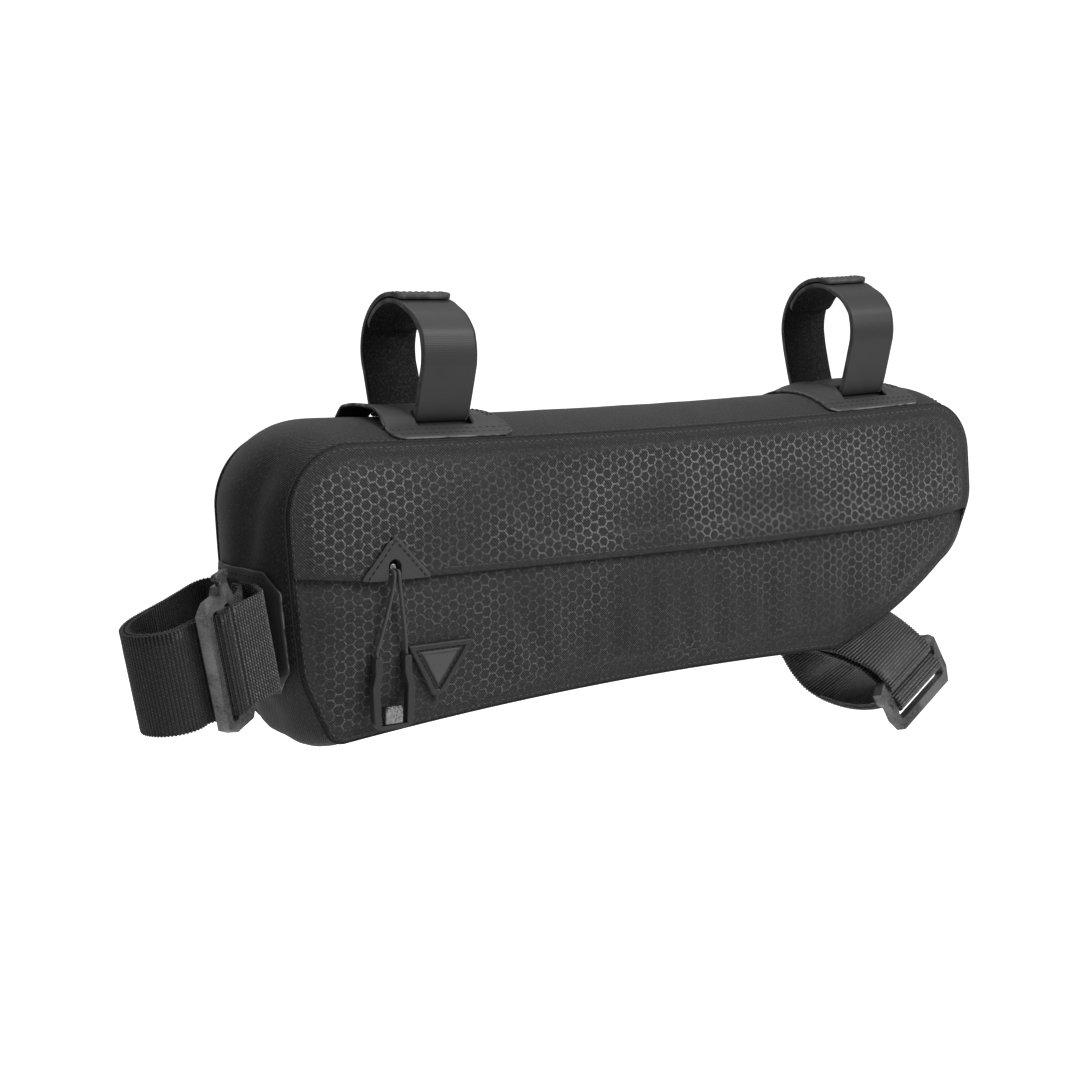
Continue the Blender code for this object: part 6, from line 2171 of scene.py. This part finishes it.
    def webbing(
        self, name: str, rows: list[tuple], node: str, sewn: tuple[float, float], look: bpy.types.Material,
    ) -> None:
        """Webbing along rows of out, across and turn.

        Args:
            name: Name of the piece.
            rows: Places in the strap's plane, with the turn of its width.
            node: CAD node that it stands for.
            sewn: Where the sewn-down stretch lies along it.
            look: Material of the ribs: the shaded copy or the painted highlight copy.
        """
        centres = np.array([self.frame.point(out, across) for out, across, _ in rows])
        sides = np.array([self.frame.widthways(turn) for _, _, turn in rows])
        steps = np.linalg.norm(np.diff(centres, axis=0), axis=1)
        keep = np.concatenate(([True], steps > 0.05 * MM))
        centres, sides = centres[keep], sides[keep]
        run = np.concatenate(([0], np.cumsum(np.linalg.norm(np.diff(centres, axis=0), axis=1))))
        cols = np.linspace(-1, 1, 9) * (self.width / 2 - 0.2 * MM)
        grid = centres[:, None, :] + sides[:, None, :] * cols[None, :, None]
        uv = np.stack(np.broadcast_arrays(run[:, None], cols[None, :]), axis=2)
        base = grid_object(name + "_webbing", grid, uv)
        base.data.materials.append(self.finishes.webbing)
        give_wall(base, self.thickness - 2 * self.rib_radius, offset=0.0)
        bake_modifiers(base)
        ahead = np.gradient(centres, axis=0)
        ahead /= np.linalg.norm(ahead, axis=1)[:, None]
        normal = np.cross(ahead, sides)
        normal /= np.linalg.norm(normal, axis=1)[:, None]

        def at(places: Array, values: Array) -> Array:
            """Vectors read at places along the route."""
            return np.column_stack([np.interp(places, run, values[:, k]) for k in range(3)])

        verts: list[Array] = []
        edges: list[tuple[int, int]] = []
        shares = np.linspace(-1, 1, 13)
        for face in (-1, 1):
            places = np.arange(self.rib_pitch / 2, run[-1], self.rib_pitch)
            mid, way, up = at(places, centres), at(places, sides), at(places, normal)
            for k in range(len(places)):
                lift = face * (self.thickness / 2 - self.rib_radius * 0.95)
                first = len(verts)
                for share in shares:
                    jog = noise.noise(Vector((places[k] * 900, share * 3.1, face))) * 0.07 * MM
                    verts.append(mid[k] + way[k] * share * self.width / 2 + up[k] * (lift + jog))
                edges.extend((first + i, first + i + 1) for i in range(len(shares) - 1))
        mesh = bpy.data.meshes.new(name + "_rib_lines")
        mesh.from_pydata([tuple(v) for v in verts], edges, [])
        lines = bpy.data.objects.new(name + "_ribs", mesh)
        bpy.context.scene.collection.objects.link(lines)
        rods = self.ribs.run(lines, radius=self.rib_radius, sides=6, material=look)
        dress(base, self.finishes.webbing, "ribbed_webbing", node)
        dress(rods, look, "ribbed_webbing", node)
        marks = np.linspace(*sewn, 5)
        mid, way, up = at(marks, centres), at(marks, sides), at(marks, normal)
        outward = np.sign((up * (self.frame.out[None, :] + np.array((0, -0.2, 0)))).sum(axis=1))[:, None]
        rows_sewn = [
            mid[k] + way[k] * share[:, None] + (up * outward)[k] * (self.thickness / 2 + 0.12 * MM)
            for k in range(len(marks)) for share in [np.linspace(-0.47, 0.47, 30) * self.width]
        ]
        self.sewing.sew(
            name + "_tack_stitches", rows_sewn, Thread.LIGHT, 1.7 * MM, 1.5 * MM, 0.42 * MM,
            slot="ribbed_webbing",
        )

    def build_buckle(self) -> None:
        """Ladder buckle: a faceted frame with three bars, its edges chamfered twice."""
        half_long = (self.width + 2 * self.side + 12 * SHAPE.seat_gap) / 2
        half_short = (2 * self.bar_pitch + self.bar) / 2
        clip, lug = self.side * 0.8, self.side * 0.7
        outer = [
            (-half_long + clip, -half_short), (half_long - clip, -half_short),
            (half_long + lug, -half_short + clip), (half_long + lug, -half_short + 2.6 * clip),
            (half_long, -half_short + 3.4 * clip), (half_long, half_short - 2 * clip),
            (half_long - clip, half_short), (-half_long + clip, half_short),
            (-half_long, half_short - 2 * clip), (-half_long, -half_short + clip),
        ]
        hole = half_long - self.side
        slot = (self.bar_pitch - self.bar) / 2
        holes = [
            rounded_loop(
                [(-hole, mid - slot), (hole, mid - slot), (hole, mid + slot), (-hole, mid + slot)],
                [slot * 0.8] * 4, 5,
            )
            for mid in (-self.bar_pitch / 2, self.bar_pitch / 2)
        ]
        long_way = self.frame.widthways(1.0)
        short_way = self.frame.out * self.toward[0] + np.array((0.0, self.toward[1], 0.0))
        short_way = short_way - (short_way @ long_way) * long_way
        short_way /= np.linalg.norm(short_way)
        face = np.cross(long_way, short_way)
        centre = self.frame.point(*self.middle)

        def place(p: Array) -> Array:
            """A point of the buckle's face as a place on the bag."""
            return centre + long_way * p[0] + short_way * p[1] + face * p[2]

        body = flat_piece(
            self.name + "_buckle_frame", [outer, *holes], self.bar, place, self.chamfer * 1.25, 1,
        )
        fine = body.modifiers.new("crisp", "BEVEL")
        fine.width = 0.16 * MM
        fine.segments = 2
        fine.limit_method = "ANGLE"
        fine.angle_limit = math.radians(22)
        bake_modifiers(body)
        if self.hooked:
            self.add_catch(body, place, half_long + lug, half_short, 1 if face[1] < 0 else -1)
        dress(body, self.finishes.buckle, "buckle_metal", self.name + "_buckle")

    def add_catch(
        self, body: bpy.types.Object, place: Callable[[Array], Array], end: float, half_short: float,
        out: int,
    ) -> None:
        """Adds the flared thumb catch at the end of the buckle's frame."""
        low, high = -half_short + 0.2 * MM, -half_short + 11.0 * MM
        flare = [
            (end - 1.5 * MM, low + 2.6 * MM), (end + 1.4 * MM, low + 2.2 * MM), (end + 2.6 * MM, low),
            (end + 4.6 * MM, low + 0.4 * MM), (end + 4.9 * MM, high - 0.6 * MM), (end + 2.8 * MM, high),
            (end + 1.4 * MM, high - 2.6 * MM), (end - 1.5 * MM, high - 3.0 * MM),
        ]
        catch = flat_piece(
            "catch", [flare], 2.4 * MM, lambda p: place(np.array((p[0], p[1], out * 0.9 * MM + p[2]))),
            0.5 * MM,
        )
        bake_modifiers(catch)
        bm = bmesh.new()
        bm.from_mesh(body.data)
        bm.from_mesh(catch.data)
        bm.to_mesh(body.data)
        bm.free()
        bpy.data.objects.remove(catch)


@dataclass
class Studio:
    """White cove, soft lights and the camera at the photo's angle."""

    place: tuple[float, float, float] = (-0.5796, -0.74128, 0.0477)
    right: tuple[float, float, float] = (0.81519766, -0.57917208, -0.0035334)
    up: tuple[float, float, float] = (0.08367559, 0.11173422, 0.990209)
    forward: tuple[float, float, float] = (0.5731066, 0.80751171, -0.13954803)
    lens: float = 73.37
    floor_z: float = -0.30

    def build_camera(self) -> None:
        """Sets the camera."""
        camera = bpy.data.cameras.new("camera")
        camera.lens = self.lens
        camera.sensor_width = 36.0
        camera.clip_start = 0.05
        holder = bpy.data.objects.new("camera", camera)
        bpy.context.scene.collection.objects.link(holder)
        columns = Matrix((self.right, self.up, [-v for v in self.forward])).transposed()
        holder.matrix_world = Matrix.Translation(self.place) @ columns.to_4x4()
        bpy.context.scene.camera = holder

    def build(self) -> None:
        """Builds the cove, the lights and the world."""
        self.build_cove()
        lights = (
            # (name, place, power, size)
            ("key", (0.55, -0.95, 0.75), 12.5, 0.8),
            ("fill", (-0.9, -0.6, 0.25), 0.25, 0.9),
            ("top", (0.1, 0.1, 0.95), 4.5, 0.9),
            ("rim", (-0.55, 0.85, 0.55), 1.2, 0.7),
        )
        for name, place, power, size in lights:
            light = bpy.data.lights.new(name, "AREA")
            light.energy, light.size = power, size
            lamp = bpy.data.objects.new(name, light)
            lamp.location = place
            lamp.rotation_euler = (Vector((0, 0, -0.07)) - Vector(place)).to_track_quat("-Z", "Y").to_euler()
            bpy.context.scene.collection.objects.link(lamp)
        world = bpy.data.worlds.new("studio")
        bpy.context.scene.world = world
        world.use_nodes = True
        world.node_tree.nodes["Background"].inputs["Color"].default_value = (1, 1, 1, 1)
        world.node_tree.nodes["Background"].inputs["Strength"].default_value = 0.14
        bpy.context.scene.view_settings.view_transform = "Standard"

    def build_cove(self) -> None:
        """Pale floor that curves up into the backdrop."""
        bend = [(math.sin(a) * 0.8, 0.8 - math.cos(a) * 0.8) for a in np.linspace(0, math.pi / 2, 16)]
        profile = [(-3.0, 0.0), (0.9, 0.0)] + [(1.2 + u, v) for u, v in bend] + [(2.0, 3.2)]
        grid = np.array([[(x, y, self.floor_z + z) for x in (-4.0, 4.0)] for y, z in profile])
        cove = grid_object("pale_cove", grid, grid[:, :, :2])
        turn = Matrix.Rotation(-math.atan2(self.forward[0], self.forward[1]), 4, "Z")
        cove.data.transform(turn)
        face_outwards(cove, lambda p: (-self.forward[0], -self.forward[1], 1.0))
        look = bpy.data.materials.new("pale_floor")
        look.use_nodes = True
        shader = look.node_tree.nodes["Principled BSDF"]
        shader.inputs["Base Color"].default_value = (0.86, 0.86, 0.86, 1)
        shader.inputs["Roughness"].default_value = 0.8
        shader.inputs["Emission Color"].default_value = (1, 1, 1, 1)
        w = Wiring(look.node_tree)
        seen = w.add("ShaderNodeLightPath").outputs["Is Camera Ray"]
        w.feed(shader.inputs["Emission Strength"], w.math("MULTIPLY_ADD", seen, 0.88, 0.06))
        cove.data.materials.append(look)


def dress_zip(finishes: Finishes) -> None:
    """Gives the zip chain, which stays as packed, its own material."""
    zip_strip = frame["nodes"]["zip_strip"]
    zip_object = bpy.data.objects[zip_strip] if isinstance(zip_strip, str) else zip_strip
    for slot in zip_object.material_slots:
        slot.material = finishes.tape


def main() -> None:
    """Builds every sub-assembly in order."""
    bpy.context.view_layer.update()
    studio = Studio()
    studio.build_camera()
    finishes = Finishes()
    Pull(finishes).build()
    sewing = Sewing(finishes)
    Gusset(finishes, sewing).build()
    SidePanels(finishes, sewing).build()
    dress_zip(finishes)
    Garage(finishes, sewing).build()
    Badge(finishes, sewing).build()
    anchor = TopAnchor(finishes, sewing)
    loop = TopLoop(finishes, sewing, anchor)
    for name, loop_x, arched, rise in (("rear", -SHAPE.loop_spacing / 2, True, 0.0),
                                       ("front", SHAPE.loop_spacing / 2, False, 2.5 * MM)):
        anchor.build("top_anchor_" + name, loop_x, arched)
        loop.build("top_loop_" + name, loop_x, rise)
    ribs = rod_tree()
    seat_run = SHAPE.outline.run_at(1, SHAPE.top_z - SHAPE.height * 0.61, 0.88, 0.99)
    SeatPatch(finishes, sewing).build(seat_run)
    WebbingStrap(
        finishes, sewing, ribs, "seat", StrapFrame(seat_run, math.pi + math.radians(10.8)), 57 * MM,
        2 * SHAPE.seat_gap + 2.0 * MM, (57 * MM * 0.474, -SHAPE.width * 0.617), (0.78, -0.625),
        math.radians(270), (0.45, 0.97), SEAT_ROUTE, hooked=True,
    ).build()
    down_run = SHAPE.outline.run_at(0, SHAPE.rear_x + SHAPE.length * 0.826, 0.42, 0.6)
    WebbingStrap(
        finishes, sewing, ribs, "down",
        StrapFrame(down_run, -math.radians(57), math.radians(16), math.radians(11)), 35 * MM,
        SHAPE.seat_gap + 0.8 * MM, (35 * MM * 0.735, -SHAPE.width * 0.70), (0.995, -0.10),
        math.radians(180), (0.52, 0.90), DOWN_ROUTE,
    ).build()
    studio.build()


# Routes of the two webbing straps from their sewn run round the tube to the buckle, as in the solids
SEAT_ROUTE = (
    # (out, across, turn)
    (0.000, -0.04, 0.00),
    (0.000, 0.06, 0.00),
    (0.008, 0.17, 0.10),
    (0.060, 0.235, 0.25),
    (0.150, 0.225, 0.40),
    (0.300, 0.130, 0.65),
    (0.480, 0.020, 0.85),
    (0.660, -0.075, 1.00),
    (0.820, -0.175, 1.00),
    (0.940, -0.310, 1.00),
    (0.990, -0.450, 1.00),
    (0.960, -0.580, 1.00),
    (0.870, -0.675, 1.00),
    (0.750, -0.702, 1.00),
    (0.640, -0.648, 1.00),
)
DOWN_ROUTE = (
    # (out, across, turn)
    (-0.003, 0.06, 0.00),
    (-0.018, 0.15, 0.00),
    (0.010, 0.235, 0.00),
    (0.130, 0.290, 0.00),
    (0.340, 0.300, 0.05),
    (0.600, 0.290, 0.15),
    (0.820, 0.230, 0.25),
    (0.950, 0.105, 0.40),
    (1.000, -0.060, 0.60),
    (0.985, -0.230, 0.80),
    (0.920, -0.390, 0.95),
    (0.840, -0.520, 1.00),
    (0.800, -0.620, 1.00),
)


if __name__ == "__main__":
    main()
